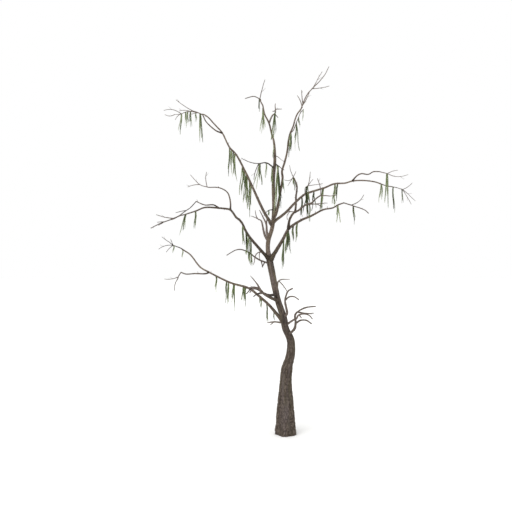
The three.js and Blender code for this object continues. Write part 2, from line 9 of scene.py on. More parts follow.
import bpy
import numpy as np
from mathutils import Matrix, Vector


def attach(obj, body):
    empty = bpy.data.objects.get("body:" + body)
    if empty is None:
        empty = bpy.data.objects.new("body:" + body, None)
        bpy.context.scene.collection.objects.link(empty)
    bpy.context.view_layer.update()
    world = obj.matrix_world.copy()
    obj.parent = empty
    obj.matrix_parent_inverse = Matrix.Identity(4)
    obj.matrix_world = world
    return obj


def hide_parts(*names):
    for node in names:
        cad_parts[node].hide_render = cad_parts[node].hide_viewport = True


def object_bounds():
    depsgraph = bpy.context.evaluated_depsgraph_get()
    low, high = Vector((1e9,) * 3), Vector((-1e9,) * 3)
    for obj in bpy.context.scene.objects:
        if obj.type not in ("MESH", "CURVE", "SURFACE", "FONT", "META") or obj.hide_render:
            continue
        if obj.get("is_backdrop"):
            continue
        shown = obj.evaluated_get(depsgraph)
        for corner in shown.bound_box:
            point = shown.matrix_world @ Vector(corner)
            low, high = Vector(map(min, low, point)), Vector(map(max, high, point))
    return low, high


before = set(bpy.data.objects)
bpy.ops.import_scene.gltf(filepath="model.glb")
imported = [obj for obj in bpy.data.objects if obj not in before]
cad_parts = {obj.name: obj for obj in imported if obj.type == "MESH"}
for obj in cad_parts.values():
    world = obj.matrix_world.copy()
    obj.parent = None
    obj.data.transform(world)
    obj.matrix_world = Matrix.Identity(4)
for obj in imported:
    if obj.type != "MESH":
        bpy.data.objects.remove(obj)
cad_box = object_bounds()

# The eye that the limbs are drawn from is the camera's place: level, facing +Y, before the trunk.
EYE_SIDE = -0.972
EYE_DISTANCE = 18.5
EYE_HEIGHT = 5.79
FRAME_PIXELS = 512
FOCAL_PIXELS = 567.5
SENSOR_MM = 36.0

# Limbs as the solids have them. Each line is a row of stretches in the front view, (length, angle),
# where angle 0 points right, 90 up and 180 left. The sweep is the angle of its lean away from the eye.
# A limb springs from the middle of the limb it is on, as far along as `at` says, or else at its tip.
TRUNK_LINE = [(1.745, 90), (0.394, 84), (0.471, 76), (0.456, 90), (0.424, 113), (0.331, 100),
    (0.618, 108), (0.999, 102), (0.662, 100), (0.294, 88), (0.476, 74), (0.557, 85), (0.913, 91),
    (0.719, 86), (0.588, 93), (0.321, 105), (0.234, 103), (0.145, 110), (0.248, 117), (0.201, 103),
    (0.11, 102), (0.12, 119), (0.09, 100)]
# Diameters of the trunk, each at a height
TRUNK_GIRTHS = [(0, 0.69), (0.48, 0.61), (0.84, 0.555), (1.22, 0.48), (1.47, 0.42), (1.82, 0.378),
    (2.12, 0.37), (2.42, 0.3), (3.22, 0.238), (4.37, 0.203), (5.57, 0.222), (5.99, 0.145),
    (7.27, 0.121), (8.92, 0.098), (9.57, 0.065), (10.91, 0.038)]
# The girth of a bough is its diameters at the root and the tip.
BOUGHS = {
    "upper_left": dict(on="trunk", at=6.923, sweep=18, girth=(0.104, 0.044),
        line=[(0.5, 122), (1.335, 115), (0.787, 118), (0.288, 133), (0.554, 117), (0.215, 132),
            (0.188, 133), (0.219, 132), (0.095, 139), (0.107, 149), (0.09, 170)]),
    "upper_left_twin": dict(on="upper_left", at=3.442, sweep=-25, girth=(0.056, 0.036),
        line=[(0.19, 161), (0.182, 144), (0.281, 135), (0.155, 118), (0.082, 113)]),
    "middle_left": dict(on="trunk", at=5.765, sweep=-30, girth=(0.108, 0.046),
        line=[(1.002, 131), (0.27, 122), (0.228, 114), (0.13, 127), (0.164, 141), (0.15, 124),
            (0.155, 132), (0.38, 171), (0.457, 178), (0.3, 201)]),
    "middle_left_rise": dict(on="middle_left", at=2.099, sweep=20, girth=(0.054, 0.03),
        line=[(0.212, 88), (0.354, 105), (0.308, 148), (0.375, 177)]),
    "middle_left_twin": dict(on="middle_left", at=2.479, sweep=-12, girth=(0.046, 0.03),
        line=[(0.192, 148), (0.293, 180), (0.306, 158)]),
    "low_left": dict(on="trunk", at=3.63, sweep=20, girth=(0.108, 0.048),
        line=[(0.517, 129), (0.266, 131), (0.304, 137), (0.195, 140), (0.285, 141), (0.168, 153),
            (0.543, 164), (0.785, 154), (0.321, 150), (0.535, 129), (0.263, 146)]),
    "low_left_fork": dict(on="low_left", at=3.063, sweep=-20, girth=(0.056, 0.04),
        line=[(0.108, 205), (0.359, 180), (0.294, 183), (0.172, 161)]),
    "front_left": dict(on="trunk", at=4.408, sweep=-60, girth=(0.11, 0.078),
        line=[(0.314, 156), (0.227, 148), (0.138, 133)]),
    "middle_right": dict(on="trunk", at=5.736, sweep=-28, girth=(0.14, 0.04),
        line=[(0.39, 59), (0.439, 59), (0.386, 62), (0.148, 40), (0.362, 32), (0.339, 23), (0.453, 27),
            (0.315, 11), (0.188, 30), (0.207, 19)]),
    "middle_right_rise": dict(on="middle_right", at=1.215, sweep=-40, girth=(0.088, 0.04),
        line=[(0.239, 86), (0.186, 68), (0.158, 52), (0.152, 25), (0.213, 40), (0.163, 26),
            (0.126, 17), (0.221, 44), (0.146, 34)]),
    "middle_right_back": dict(on="middle_right_rise", at=0.62, sweep=58, girth=(0.07, 0.052),
        line=[(0.242, 85), (0.261, 89), (0.23, 83), (0.13, 90), (0.249, 111)]),
    "long_right": dict(on="trunk", at=7.022, sweep=28, girth=(0.096, 0.046),
        line=[(0.502, 37), (0.507, 46), (0.393, 40), (0.252, 20), (0.409, 17), (0.351, 22), (0.359, 4),
            (0.237, 16), (0.359, 3), (0.394, -7), (0.178, -19)]),
    "long_right_fork": dict(on="long_right", at=3.01, sweep=-15, girth=(0.056, 0.038),
        line=[(0.245, 48), (0.143, 24), (0.229, -5), (0.182, 27), (0.196, 2)]),
    "upper_right": dict(on="trunk", at=7.129, sweep=-12, girth=(0.096, 0.044),
        line=[(0.27, 65), (0.665, 79), (0.464, 81), (0.196, 96), (0.339, 74), (0.355, 77), (0.311, 84),
            (0.247, 78), (0.263, 67), (0.244, 74), (0.183, 68), (0.21, 54), (0.04, 66)]),
}
# A spray is a stem with its girth at the root and at the tip, and fans of twigs on it. A fan is how far
# up the stem it is, as a share, its twigs' length and curl, and the angle of each twig. Moss hangs in
# runs along the stem, each (from, to, strands, longest).
SPRAYS = {
    "upper_left_tip": dict(on="upper_left", sweep=12,
        line=[(0.194, 157), (0.12, 167), (0.191, 188), (0.211, 200), (0.183, 185)],
        fans=[(0.76, 0.6, 18, 172), (1, 0.35, -20, 176), (0.79, 0.255, 12, 228), (0.3, 0.69, -4, 148)],
        moss=[(0.178, 0.188, 1, 0.56), (0.376, 0.545, 3, 0.64), (0.675, 0.69, 1, 0.76)]),
    "upper_left_twin_tip": dict(on="upper_left_twin", sweep=-30,
        line=[(0.16, 153), (0.23, 170)],
        fans=[(1, 0.42, 8, 176), (0.5, 0.3, 0, 186)],
        moss=[(0.095, 0.105, 1, 1.05)]),
    "middle_left_tip": dict(on="middle_left", sweep=-25, tip=0.024,
        line=[(0.369, 198), (0.185, 194), (0.235, 205), (0.4, 199), (0.4, 206)],
        fans=[(0.48, 0.62, -3, 175), (0.67, 0.26, 0, 181), (0.71, 0.205, 0, 217)],
        moss=[(0.02, 0.028, 1, 0.7), (0.345, 0.365, 1, 0.82)]),
    "middle_left_rise_tip": dict(on="middle_left_rise", sweep=35,
        line=[(0.28, 163), (0.2, 137), (0.25, 132)],
        fans=[(0.05, 0.49, -12, 86), (0.4, 0.42, 8, 186)]),
    "middle_left_twin_tip": dict(on="middle_left_twin", sweep=12, tip=0.026,
        line=[(0.275, 228), (0.175, 214), (0.245, 217)],
        fans=[(0.62, 0.36, 4, 190), (1, 0.46, 0, 203)]),
    "low_left_tip": dict(on="low_left", sweep=15, tip=0.028,
        line=[(0.09, 146), (0.281, 158)],
        fans=[(1, 0.48, 0, 139), (1, 0.215, 0, 120), (1, 0.51, 15, 195), (0.98, 0.325, 14, 230)],
        moss=[(0.036, 0.046, 1, 0.48), (0.355, 0.362, 1, 0.4)]),
    "low_left_fork_tip": dict(on="low_left_fork", sweep=-35, tip=0.022,
        line=[(0.154, 238), (0.103, 252), (0.095, 239), (0.103, 252), (0.187, 263)],
        fans=[(0.27, 0.455, -10, 188)]),
    "front_left_tip": dict(on="front_left", sweep=-50, tip=0.014,
        line=[(0.235, 119), (0.186, 128), (0.157, 130)],
        fans=[(0.04, 0.44, 20, 170), (0.04, 0.39, 36, 200), (0.22, 0.25, 4, 285)]),
    "front_left_upper": dict(on="trunk", at=4.612, sweep=-60, girth=0.095, tip=0.06,
        line=[(0.287, 180), (0.163, 157), (0.172, 147)],
        fans=[(0.9, 0.56, 36, 192), (0.7, 0.38, 22, 208), (1, 0.33, 12, 168)]),
    "left_stub": dict(on="trunk", at=3.652, sweep=45, girth=0.076, tip=0.036,
        line=[(0.349, 173), (0.21, 187)],
        fans=[(0.62, 0.15, 0, 217)]),
    "low_right": dict(on="trunk", at=3.252, sweep=-50, girth=0.096, tip=0.034,
        line=[(0.286, 45), (0.214, 81), (0.229, 94), (0.106, 56), (0.324, 29), (0.328, 7)],
        fans=[(0.3, 0.6, -33, 2), (0.58, 0.52, 5, -2)]),
    "low_right_back": dict(on="trunk", at=3.576, sweep=52, girth=0.084, tip=0.036,
        line=[(0.33, 33), (0.118, 28), (0.102, 63), (0.168, 18), (0.198, -13), (0.164, -47)],
        fans=[(0.55, 0.125, 0, -54)]),
    "right_upright": dict(on="trunk", at=3.855, sweep=-42, girth=0.092, tip=0.044,
        line=[(0.159, 43), (0.174, 97), (0.264, 99), (0.166, 79), (0.163, 64), (0.165, 30)],
        fans=[(0.547, 0.52, -39, 5)]),
    "middle_back": dict(on="trunk", at=4.79, sweep=58, girth=0.074, tip=0.016,
        line=[(0.125, 65), (0.132, 81), (0.114, 39), (0.297, 2)],
        fans=[(0.46, 0.455, -10, -53)]),
    "slim_left": dict(on="trunk", at=5.64, sweep=-32, girth=0.06, tip=0.026,
        line=[(0.323, 160), (0.228, 151), (0.232, 142), (0.219, 155), (0.109, 170), (0.142, 189),
            (0.339, 210)],
        fans=[(0.2, 0.23, 0, 287), (0.12, 0.185, 0, 244)],
        moss=[(0.693, 0.707, 1, 0.4), (0.808, 0.822, 1, 0.45)]),
    "middle_left_root": dict(on="middle_left", at=0.33, sweep=-40, girth=0.042, tip=0.024,
        line=[(0.137, 175), (0.114, 219), (0.11, 247), (0.138, 263)],
        fans=[(0.22, 0.23, 6, 262), (1, 0.11, 0, 252)]),
    "back_left": dict(on="trunk", at=6.398, sweep=58, girth=0.096, tip=0.02,
        line=[(0.192, 122), (0.205, 107), (0.199, 100), (0.114, 110), (0.127, 151), (0.12, 116),
            (0.166, 100)],
        fans=[(0.745, 0.24, 0, 153)]),
    "fork_link": dict(on="trunk", at=7.446, sweep=-45, girth=0.042,
        line=[(0.19, 192), (0.11, 222)],
        fans=[(1, 0.11, 0, 240)],
        moss=[(0.175, 0.19, 1, 0.28)]),
    "middle_right_tip": dict(on="middle_right", sweep=-25, tip=0.026,
        line=[(0.206, -18), (0.206, -18), (0.17, -17), (0.143, -24), (0.155, -42)],
        fans=[(0.28, 0.54, 14, 35)],
        moss=[(0.31, 0.325, 1, 0.56)]),
    "middle_right_rise_tip": dict(on="middle_right_rise", sweep=-35,
        line=[(0.17, 0), (0.15, -3), (0.15, 5)],
        fans=[(0.97, 0.07, 0, 10), (0.04, 0.6, 9, 95)],
        moss=[(0.425, 0.44, 1, 0.43)]),
    "middle_right_rise_low": dict(on="middle_right_rise", at=1.075, sweep=30, girth=0.04, tip=0.022,
        line=[(0.248, 4), (0.115, -8), (0.134, -34)],
        fans=[(0.5, 0.44, 0, 5)],
        moss=[(0.07, 0.08, 1, 0.8)]),
    "middle_right_back_tip": dict(on="middle_right_back", sweep=45,
        line=[(0.06, 120)],
        fans=[(1, 0.39, -4, 112), (1, 0.195, 8, 62), (0.9, 0.35, 2, 238), (0.9, 0.33, -28, 200)],
        moss=[(0.028, 0.056, 2, 0.52)]),
    "long_right_tip": dict(on="long_right", sweep=25, tip=0.024,
        line=[(0.2, -19), (0.29, -10), (0.262, -16)],
        fans=[(1, 0.56, 0, -58, -38), (1, 0.385, 12, 32)],
        moss=[(0.025, 0.04, 1, 0.96), (0.42, 0.435, 1, 0.96), (0.725, 0.74, 1, 0.76)]),
    "long_right_fork_tip": dict(on="long_right_fork", sweep=-25, tip=0.026,
        line=[(0.269, -14)],
        fans=[(1, 0.38, -5, 24), (1, 0.69, 19, -6)],
        moss=[(0.245, 0.255, 1, 1.5)]),
    "long_right_upright": dict(on="long_right", at=1.402, sweep=-45, girth=0.038,
        line=[(0.228, 86), (0.095, 28)],
        fans=[(1, 0.46, 4, 84), (0.9, 0.29, 0, 52), (1, 0.48, -3, 2)],
        moss=[(0.262, 0.302, 2, 0.96)]),
    "upper_right_tip": dict(on="upper_right", sweep=-8,
        line=[(0.26, 70), (0.219, 63), (0.229, 50), (0.355, 45), (0.304, 52), (0.268, 64)],
        fans=[(0.03, 0.39, 11, 120), (0.085, 0.44, 0, 97), (0.05, 0.52, 5, 56), (0.44, 0.59, 6, 12),
            (0.467, 0.6, -2, 58)]),
    "upper_right_side": dict(on="upper_right", at=2.86, sweep=40, girth=0.034,
        line=[(0.152, 47), (0.281, 68), (0.219, 67), (0.1, 67), (0.17, 52)],
        fans=[(0.8, 0.11, 0, 72)],
        moss=[(0.415, 0.43, 1, 1.15), (0.64, 0.655, 1, 0.42), (0.895, 0.91, 1, 0.43)]),
    "leader_arch": dict(on="trunk", at=8.794, sweep=-50, girth=0.05, tip=0.034,
        line=[(0.311, 147), (0.246, 185)],
        fans=[(1, 0.59, -9, 161), (1, 0.55, 5, 252)],
        moss=[(0.072, 0.08, 1, 1), (0.3, 0.315, 1, 0.6), (0.515, 0.545, 2, 0.86)]),
    "leader_link": dict(on="trunk", at=8.945, sweep=-50, girth=0.052,
        line=[(0.151, -33), (0.155, -39)],
        fans=[(1, 0.08, 0, -30)],
        moss=[(0.09, 0.15, 3, 1.8)]),
    "leader_fork": dict(on="trunk", at=10.272, sweep=-55, girth=0.06, tip=0.04,
        line=[(0.192, 69), (0.112, 60), (0.093, 39), (0.128, 84)],
        fans=[(1, 0.215, 0, 2), (1, 0.19, -10, 88), (0.72, 0.17, 0, -55), (0.9, 0.09, 0, 190)],
        moss=[(0.4, 0.44, 2, 0.98)]),
    "leader_tip": dict(on="trunk", sweep=25, tip=0.026,
        line=[(0.099, 153), (0.114, 156), (0.118, 185), (0.194, 197)],
        fans=[(0.04, 0.64, -4, 72)],
        moss=[(0.04, 0.052, 1, 0.56)]),
    "back_left_inner": dict(on="trunk", at=6.5, sweep=40, girth=0.096, tip=0.024,
        line=[(0.194, 113), (0.212, 93), (0.1, 103), (0.251, 116), (0.216, 117)],
        fans=[(0.42, 0.215, 0, 87)]),
    "leader_cross": dict(on="trunk", at=9.206, sweep=-40, girth=0.028, tip=0.01,
        line=[(0.11, -23), (0.118, -39), (0.144, -38)]),
    "long_right_link": dict(on="long_right", at=0.614, sweep=-30, girth=0.044,
        line=[(0.086, -18), (0.17, -3)],
        fans=[(0.35, 0.3, 25, -105)]),
}
# Curtains: the limb that each hangs on, and its runs of moss along it
CURTAINS = {
    "upper_left_lower": ("upper_left", [(1.487, 2.132, 6, 1.15)]),
    "upper_left_upper": ("upper_left", [(2.627, 2.922, 4, 1.15)]),
    "middle_left": ("middle_left", [(0.92, 1.04, 2, 1), (1.18, 1.2, 1, 0.86), (1.425, 1.45, 1, 0.76)]),
    "low_left_inner": ("low_left", [(0.53, 0.545, 1, 0.33), (0.87, 0.89, 1, 0.68),
        (1.125, 1.215, 2, 0.34)]),
    "low_left_outer": ("low_left", [(1.765, 1.84, 3, 0.7), (2.145, 2.18, 2, 0.94), (2.345, 2.44, 2, 0.88),
        (2.78, 2.795, 1, 0.68)]),
    "middle_right": ("middle_right", [(0.815, 0.85, 2, 1.1), (1.05, 1.19, 3, 0.8),
        (1.395, 1.405, 1, 0.48)]),
    "middle_right_outer": ("middle_right", [(1.552, 1.572, 1, 0.76), (3.015, 3.035, 1, 0.76)]),
    "long_right_inner": ("long_right", [(1.24, 1.255, 1, 0.76), (1.41, 1.47, 2, 0.96),
        (1.68, 1.695, 1, 0.9)]),
    "long_right_middle": ("long_right", [(2, 2.03, 2, 0.88), (2.44, 2.52, 2, 0.9)]),
    "leader": ("trunk", [(9.54, 9.56, 1, 0.64), (10.7, 10.8, 2, 0.84)]),
    "upper_right": ("upper_right", [(1.33, 1.35, 1, 0.58), (2.85, 2.89, 2, 0.76)]),
}

# The rule of the sprays and curtains, with the solids' own seeds and sizes
DEALER_TIMES = 1664525
DEALER_PLUS = 1013904223
DEALER_RANGE = 2**32
DEALER_THROWN = 4
SPRAY_SEED = 41
CURTAIN_SEED = 97
BOUGH_TAPER = 1.3
TRUNK_BOW = 0.26
TRUNK_BURIED = 0.15
FLARE_LOBES = 5
FLARE_DEPTH = 0.07
FLARE_HEIGHT = 1.5
FLARE_FADE = 1.5
FLARE_TURN = 255
STEM_TIP = 0.018
STEM_FIT = 0.92
LEADER_FIT = 0.85
LEADER_SLIM = 0.6
TWIG_SWEEP = 50
TWIG_LEAST = 0.25
TWIG_BEND = 5
TWIG_SPREAD = 0.04
SIDE_EVERY = 0.4
SIDE_PLACES = (0.35, 0.85)
SIDE_REACH = 0.3
SIDE_LEAST = 0.6
SIDE_SPREAD = (20, 42)
SIDE_SWEEP = 55
STRAND_STRAY = 0.6
STRAND_SPREAD = 0.35
STRAND_SWING = 0.014
STRAND_WIDTH = 0.068

# A limb's direction is taken over this distance, and curtains hang from this share of its radius.
PROBE = 0.02
HANG_SHARE = 0.8
# What keeps a direction from being empty, and how near to an axis a line counts as along it, as a sine
TINY = 1e-9
PARALLEL = 0.1
# The whole numbers that scramble a lattice into noise
LATTICE_TIMES = (374761393, 668265263, 2147483647)
LATTICE_MIX = 1274126177
LATTICE_SHIFTS = (13, 16)

# Bark: rings and sides. The trunk's rings crowd together low down by a share.
TRUNK_RINGS = 780
TRUNK_SIDES = 112
TRUNK_PARTS = 60
TRUNK_CROWD = 0.4
BOUGH_STEP = 0.018
BOUGH_SIDES = 26
# A fibre's width and length before it is bent round a limb
TRUNK_FIBRE = (0.046, 0.12)
BOUGH_FIBRE = (0.024, 0.11)
# Noises that shape the bark: a size in fibres, across twice and along, and a shift that sets it apart
BARK_NOISES = {
    "weave": ((3.2, 3.2, 1.1), 0.0),
    "furrow": ((1.0, 1.0, 1.0), 0.0),
    "split": ((0.62, 0.62, 0.45), 31.7),
    "fibre": ((0.3, 0.3, 0.5), 7.3),
    "flake": ((1.3, 1.3, 0.24), 57.1),
}
# How far the furrows weave, in fibres, and where furrows and splits end and plates begin
WEAVE_REACH = 1.8
FURROW_EDGE = (0.02, 0.5)
SPLIT_EDGE = (-0.1, 0.35)
# Shares of the relief that are plates, fibres and flakes
PLATE_SHARE = 0.66
FIBRE_SHARE = 0.17
FLAKE_SHARE = 0.17
# The relief's size by the radius, with a least size, and how far in and out it goes
RELIEF_SHARE = 0.075
RELIEF_LEAST = 0.0008
RELIEF_SPAN = (-1.0, 0.6)
# A bough's swollen root, and its knots: their height and reach in radii
COLLAR_SWELL = 0.4
COLLAR_FADE = 0.9
KNOT_SEED = 300
KNOT_EVERY = 0.42
KNOT_HEIGHT = (0.08, 0.24)
KNOT_REACH = (0.5, 0.9)
# The bark's flat map: columns of wall, each with a margin, and over them the two ends
TRUNK_COLUMNS = 6
BOUGH_COLUMNS = 3
MAP_MARGIN = 0.02
MAP_FOOT = 0.005
MAP_WALL = 0.95
MAP_ENDS = (0.25, 0.75)
MAP_END_HEIGHT = 0.98
MAP_END_REACH = 0.015

# Twigs: diameters at root and tip, and how many sides each kind has
LEADER_GIRTH = (0.026, 0.009)
SIDE_GIRTH = (0.012, 0.005)
FINE_GIRTH = (0.0055, 0.0025)
SPUR_GIRTH = (0.007, 0.003)
STUB_GIRTH = (0.016, 0.011)
STEM_SIDES = 8
LEADER_SIDES = 6
SIDE_SIDES = 5
FINE_SIDES = 4
STUB_SIDES = 6
# A twig's steps and fewest rings, its kinks by size, pitch and rise from the root, and its knobs by share
# of the radius and pitch, where a pitch is a number to a metre
TWIG_STEP = 0.035
TWIG_RINGS = 4
TWIG_WOBBLE = 0.007
WOBBLE_PITCH = 9
WOBBLE_RISE = 4
WOBBLE_SHIFTS = (3.1, 47.9, 91.3)
KNOB_SPAN = (0.86, 1.14)
KNOB_PITCH = 40
# Fine twigs, spurs and snapped stubs, which the solids leave out: how far apart, where along the limb,
# how long and at what angle to it
FINE_SEED = 1000
FINE_EVERY = 0.3
FINE_PLACES = (0.15, 0.95)
FINE_LENGTH = (0.04, 0.11)
FINE_SHORTER = 0.4
FINE_TURNS = (30, 58)
FINE_STEP = 0.03
SPUR_EVERY = 0.075
SPUR_LENGTH = (0.006, 0.014)
SPUR_TURNS = (50, 80)
SPUR_ROLL = 2.4
STUB_SEED = 600
STUB_EVERY = 0.55
STUB_PLACES = (0.2, 1)
STUB_LENGTH = (0.03, 0.075)
STUB_TURNS = (45, 75)
STUB_STEP = 0.02
# They roll round the limb from a direction of no account, start inside it and rise a little.
ROLL_FROM = (0.31, 0.84, 0.44)
BRANCH_SUNK = 0.4
BRANCH_LIFT = 0.12

# Moss: the ribbons of a full strand, their parts, their width at top and tail, and the locks they hang in
MOSS_SEEDS = {"sprays": 15, "left": 40, "right": 9}
RIBBONS = 60
RIBBON_PARTS = 18
RIBBON_WIDTH = (0.0092, 0.0046)
LOCKS = (3, 5)
LOCK_REACH = (0.52, 1.0)
LOCK_LEAN = 0.075
# How far a lock stands off a strand's middle and a ribbon off its lock's, in half widths of the strand
LOCK_OFF = (0.15, 0.62)
RIBBON_OFF = 0.42
STRAND_LEAN = 0.045
FRAY = 0.26
# How full a strand is at shares of its length
FULLNESS = ((0, 0.12, 0.4, 0.75, 1), (0.45, 0.85, 1.0, 0.9, 0.6))
# A strand shorter than this is slimmer in proportion, down to the slimmest share
FULL_LENGTH = {"sprays": 0.9, "left": 0.6, "right": 0.6}
SLIMMEST = 0.5
CURL_SIZE = (0.001, 0.004)
CURL_PITCH = (0.09, 0.22)
CURL_RISE = 6
# How a ribbon's place round its lock sets its curl and its facing apart, and its twist to the tail
CURL_APART = 3
FACING_APART = 5
RIBBON_TWIST = 4
# How far the ribbons spread along the limb at the top
TOP_SPREAD = 0.022

# Finishes, where fibres then vary the bark's roughness
ROUGHNESS = {"bark": 0.9, "twig": 0.85, "moss": 0.95, "floor": 0.95}
SPECULAR = 0.25
# Plain colours, linear: twigs and moss are dealt these by spray
TWIG_TINTS = [(0.135, 0.106, 0.088), (0.165, 0.134, 0.112), (0.108, 0.085, 0.070), (0.150, 0.117, 0.100)]
# The sprays that are darker than the rest, and their tone
DARK_SPRAYS = {
    "middle_left_twin_tip", "low_left_tip", "front_left_upper", "fork_link", "leader_arch", "leader_link",
}
DARK_TINT = (0.056, 0.044, 0.037)
MOSS_TINTS = [
    (0.045, 0.058, 0.026), (0.098, 0.128, 0.056), (0.165, 0.212, 0.092), (0.250, 0.305, 0.148),
    (0.350, 0.395, 0.235),
]
# How often each tone leads a lock of moss
TINT_SHARES = (0.12, 0.2, 0.27, 0.26, 0.15)
# Painted shade: right of the trunk, between these places across and up to this height, the moss mostly
# takes dark tones
SHADE_BAND = (-0.4, 0.95)
SHADE_HEIGHT = 8.2
SHADED_SHARES = (0.36, 0.34, 0.2, 0.1, 0.0)
# How often a ribbon is a tone darker than its lock, equal or paler
STRAY_SHARES = (0.1, 0.8, 0.1)

# Bark colours, linear: from a furrow's floor to the top of a plate, with olive and grey patches
BARK_TONES = [(0.0, (0.018, 0.013, 0.010)), (0.45, (0.076, 0.057, 0.044)), (1.0, (0.150, 0.122, 0.100))]
BARK_OLIVE = (0.094, 0.082, 0.046)
BARK_GREY = (0.132, 0.108, 0.110)
BOUGH_GREY = (0.140, 0.110, 0.094)
# The patches: how often the noise repeats across twice and along, its detail, the band of it over which
# a patch fades in, and how strong the patch gets
OLIVE_PATCHES = ((7, 7, 1.6), 3, (0.48, 0.72), 0.6)
GREY_PATCHES = ((4, 4, 0.9), 4, (0.50, 0.74), 0.55)
# Fine fibres: the same noise, what it does to the colour and the roughness, and the bumps it makes
FIBRE_STRETCH = (110, 110, 9)
FIBRE_DETAIL = 4
FIBRE_BAND = (0.3, 0.7)
FIBRE_SHADE = (0.62, 1.3)
FIBRE_ROUGHNESS = (0.98, 0.8)
BUMP_STRENGTH = 0.6
BUMP_DEPTH = 0.004
# Places of a mix node's colour sockets: factor, first, second, and the result
MIX_SOCKETS = (0, 6, 7)
MIX_RESULT = 2
# Paler bark up the trunk between two heights, and by shares on the boughs: how much paler at the most, the
# share on most boughs, and the boughs that differ
PALE_HEIGHTS = (3.4, 6.8)
PALE_LIFT = 2.1
PALE_MOST_BOUGHS = 0.45
PALE_BOUGHS = {
    "upper_left": 0.65, "middle_left": 0.25, "low_left": 0.72, "front_left": 0.5,
    "middle_right_rise": 0.35, "middle_right_back": 0.25, "long_right": 0.9, "upper_right": 0.8,
}
# Painted shade on the trunk round the roots of its boughs, where the parts meet: how dark, how far it
# reaches, and where there is more of it, as places along the trunk and turns: one spot in front and a row
# on the right side under the fork
PAINTED_SHADE_DEPTH = 0.85
PAINTED_SHADE_REACH = 0.1
EXTRA_SHADE_SPOTS = [(3.72, 262), (5.42, 325), (5.52, 325), (5.62, 325), (5.72, 325)]
# Painted shade near a bough's root: how far it reaches, in radii of what carries it, the darker the less
# pale the bough is
ROOT_SHADE_REACH = 5.5

# Soft light: a white room and one wide lamp from the front left, as degrees round, up and across
WORLD_LIGHT = 1.0
KEY_LIGHT = 1.3
KEY_TURN = -38
KEY_RISE = 46
KEY_WIDTH = 50
FLOOR_REACH = 120.0
FLOOR_COLOUR = (0.9, 0.9, 0.89)


# Lines and limbs


def seeded_shares(seed):
    """Even shares between 0 and 1 dealt by a seed, as the solids deal them."""
    state = seed

    def draw():
        nonlocal state
        state = (state * DEALER_TIMES + DEALER_PLUS) % DEALER_RANGE
        return state / DEALER_RANGE

    for _ in range(DEALER_THROWN):
        draw()
    return draw


def between(low, high, share):
    return low + (high - low) * share


def dealt_along(count, draw):
    """Numbers and places along a length, as shares of it: one dealt in each of its equal parts."""
    for i in range(count):
        yield i, (i + draw()) / count


def trace(start, line, sweep):
    """Stations of a limb: distance along it, place across and up in the front view, and depth."""
    stations = [(0.0, *start[1:])]
    for length, angle in line:
        along, x, z, depth = stations[-1]
        turn = math.radians(angle)
        stations.append((
            along + length,
            x + length * math.cos(turn),
            z + length * math.sin(turn),
            depth + length * math.tan(math.radians(sweep)),
        ))
    return np.array(stations)


def trace_trunk():
    """The trunk stands upright on its first stretch, bows back in depth and comes home at the tip."""
    stations = trace((0.0, 0.0, 0.0, 0.0), TRUNK_LINE, 0)
    first = stations[1, 0]
    share = (stations[2:, 0] - first) / (stations[-1, 0] - first)
    stations[2:, 3] = TRUNK_BOW / 2 * (1 - np.cos(2 * np.pi * share))
    return stations


def station_at(stations, along):
    return np.array([np.interp(along, stations[:, 0], column) for column in stations.T])


def points_of(stations):
    """Points in space: each station slides along its line of sight, so the front view keeps its drawing."""
    x, z, depth = np.moveaxis(stations[..., 1:], -1, 0)
    scale = 1 + depth / EYE_DISTANCE
    across = EYE_SIDE + (x - EYE_SIDE) * scale
    up = EYE_HEIGHT + (z - EYE_HEIGHT) * scale
    return np.stack([across, depth, up], -1)


def lengths_along(line):
    return np.concatenate([[0], np.cumsum(np.linalg.norm(np.diff(line, axis=0), axis=1))])


def respaced(line, along):
    """The line's points at the given distances along it."""
    distance = lengths_along(line)
    return np.stack([np.interp(along, distance, column) for column in line.T], 1)


def smooth_line(points, parts=24):
    """A centripetal curve through the points, cut into many short parts."""
    points = np.asarray(points, float)
    held = np.vstack([2 * points[0] - points[1], points, 2 * points[-1] - points[-2]])
    t = np.linspace(0, 1, parts, endpoint=False)[:, None]
    pieces = []
    for p0, p1, p2, p3 in zip(held, held[1:], held[2:], held[3:]):
        d0, d1, d2 = (np.linalg.norm(b - a) ** 0.5 for a, b in ((p0, p1), (p1, p2), (p2, p3)))
        leave = ((p1 - p0) / d0 - (p2 - p0) / (d0 + d1) + (p2 - p1) / d1) * d1
        meet = ((p2 - p1) / d1 - (p3 - p1) / (d1 + d2) + (p3 - p2) / d2) * d1
        pieces.append(
            (2 * t**3 - 3 * t**2 + 1) * p1 + (t**3 - 2 * t**2 + t) * leave
            + (3 * t**2 - 2 * t**3) * p2 + (t**3 - t**2) * meet
        )
    return np.vstack([*pieces, points[-1:]])


def even_line(points, step, least=3):
    """A smooth line through the points with even spacing near the step."""
    line = smooth_line(points)
    length = lengths_along(line)[-1]
    return respaced(line, np.linspace(0, length, max(least, round(length / step) + 1)))


def unit(vectors):
    return vectors / np.linalg.norm(vectors, axis=-1, keepdims=True)


def frames_along(line):
    """Two directions across the line at each of its points, carried along it without twist."""
    tangents = unit(np.gradient(line, axis=0))
    side = np.cross(tangents[0], (0.0, 1.0, 0.0))
    if np.linalg.norm(side) < PARALLEL:
        side = np.cross(tangents[0], (1.0, 0.0, 0.0))
    normals = np.empty_like(line)
    for i, tangent in enumerate(tangents):
        side = unit(side - tangent * side.dot(tangent))
        normals[i] = side
    return normals, np.cross(tangents, normals)


def spokes(line, sides):
    """Even angles round a line, and the directions across it that they point in at each of its points."""
    normals, binormals = frames_along(line)
    angle = np.linspace(0, 2 * np.pi, sides, endpoint=False)
    out = np.cos(angle)[:, None] * normals[:, None] + np.sin(angle)[:, None] * binormals[:, None]
    return angle, out


def trunk_radius(height):
    return np.interp(height, *np.transpose(TRUNK_GIRTHS)) / 2


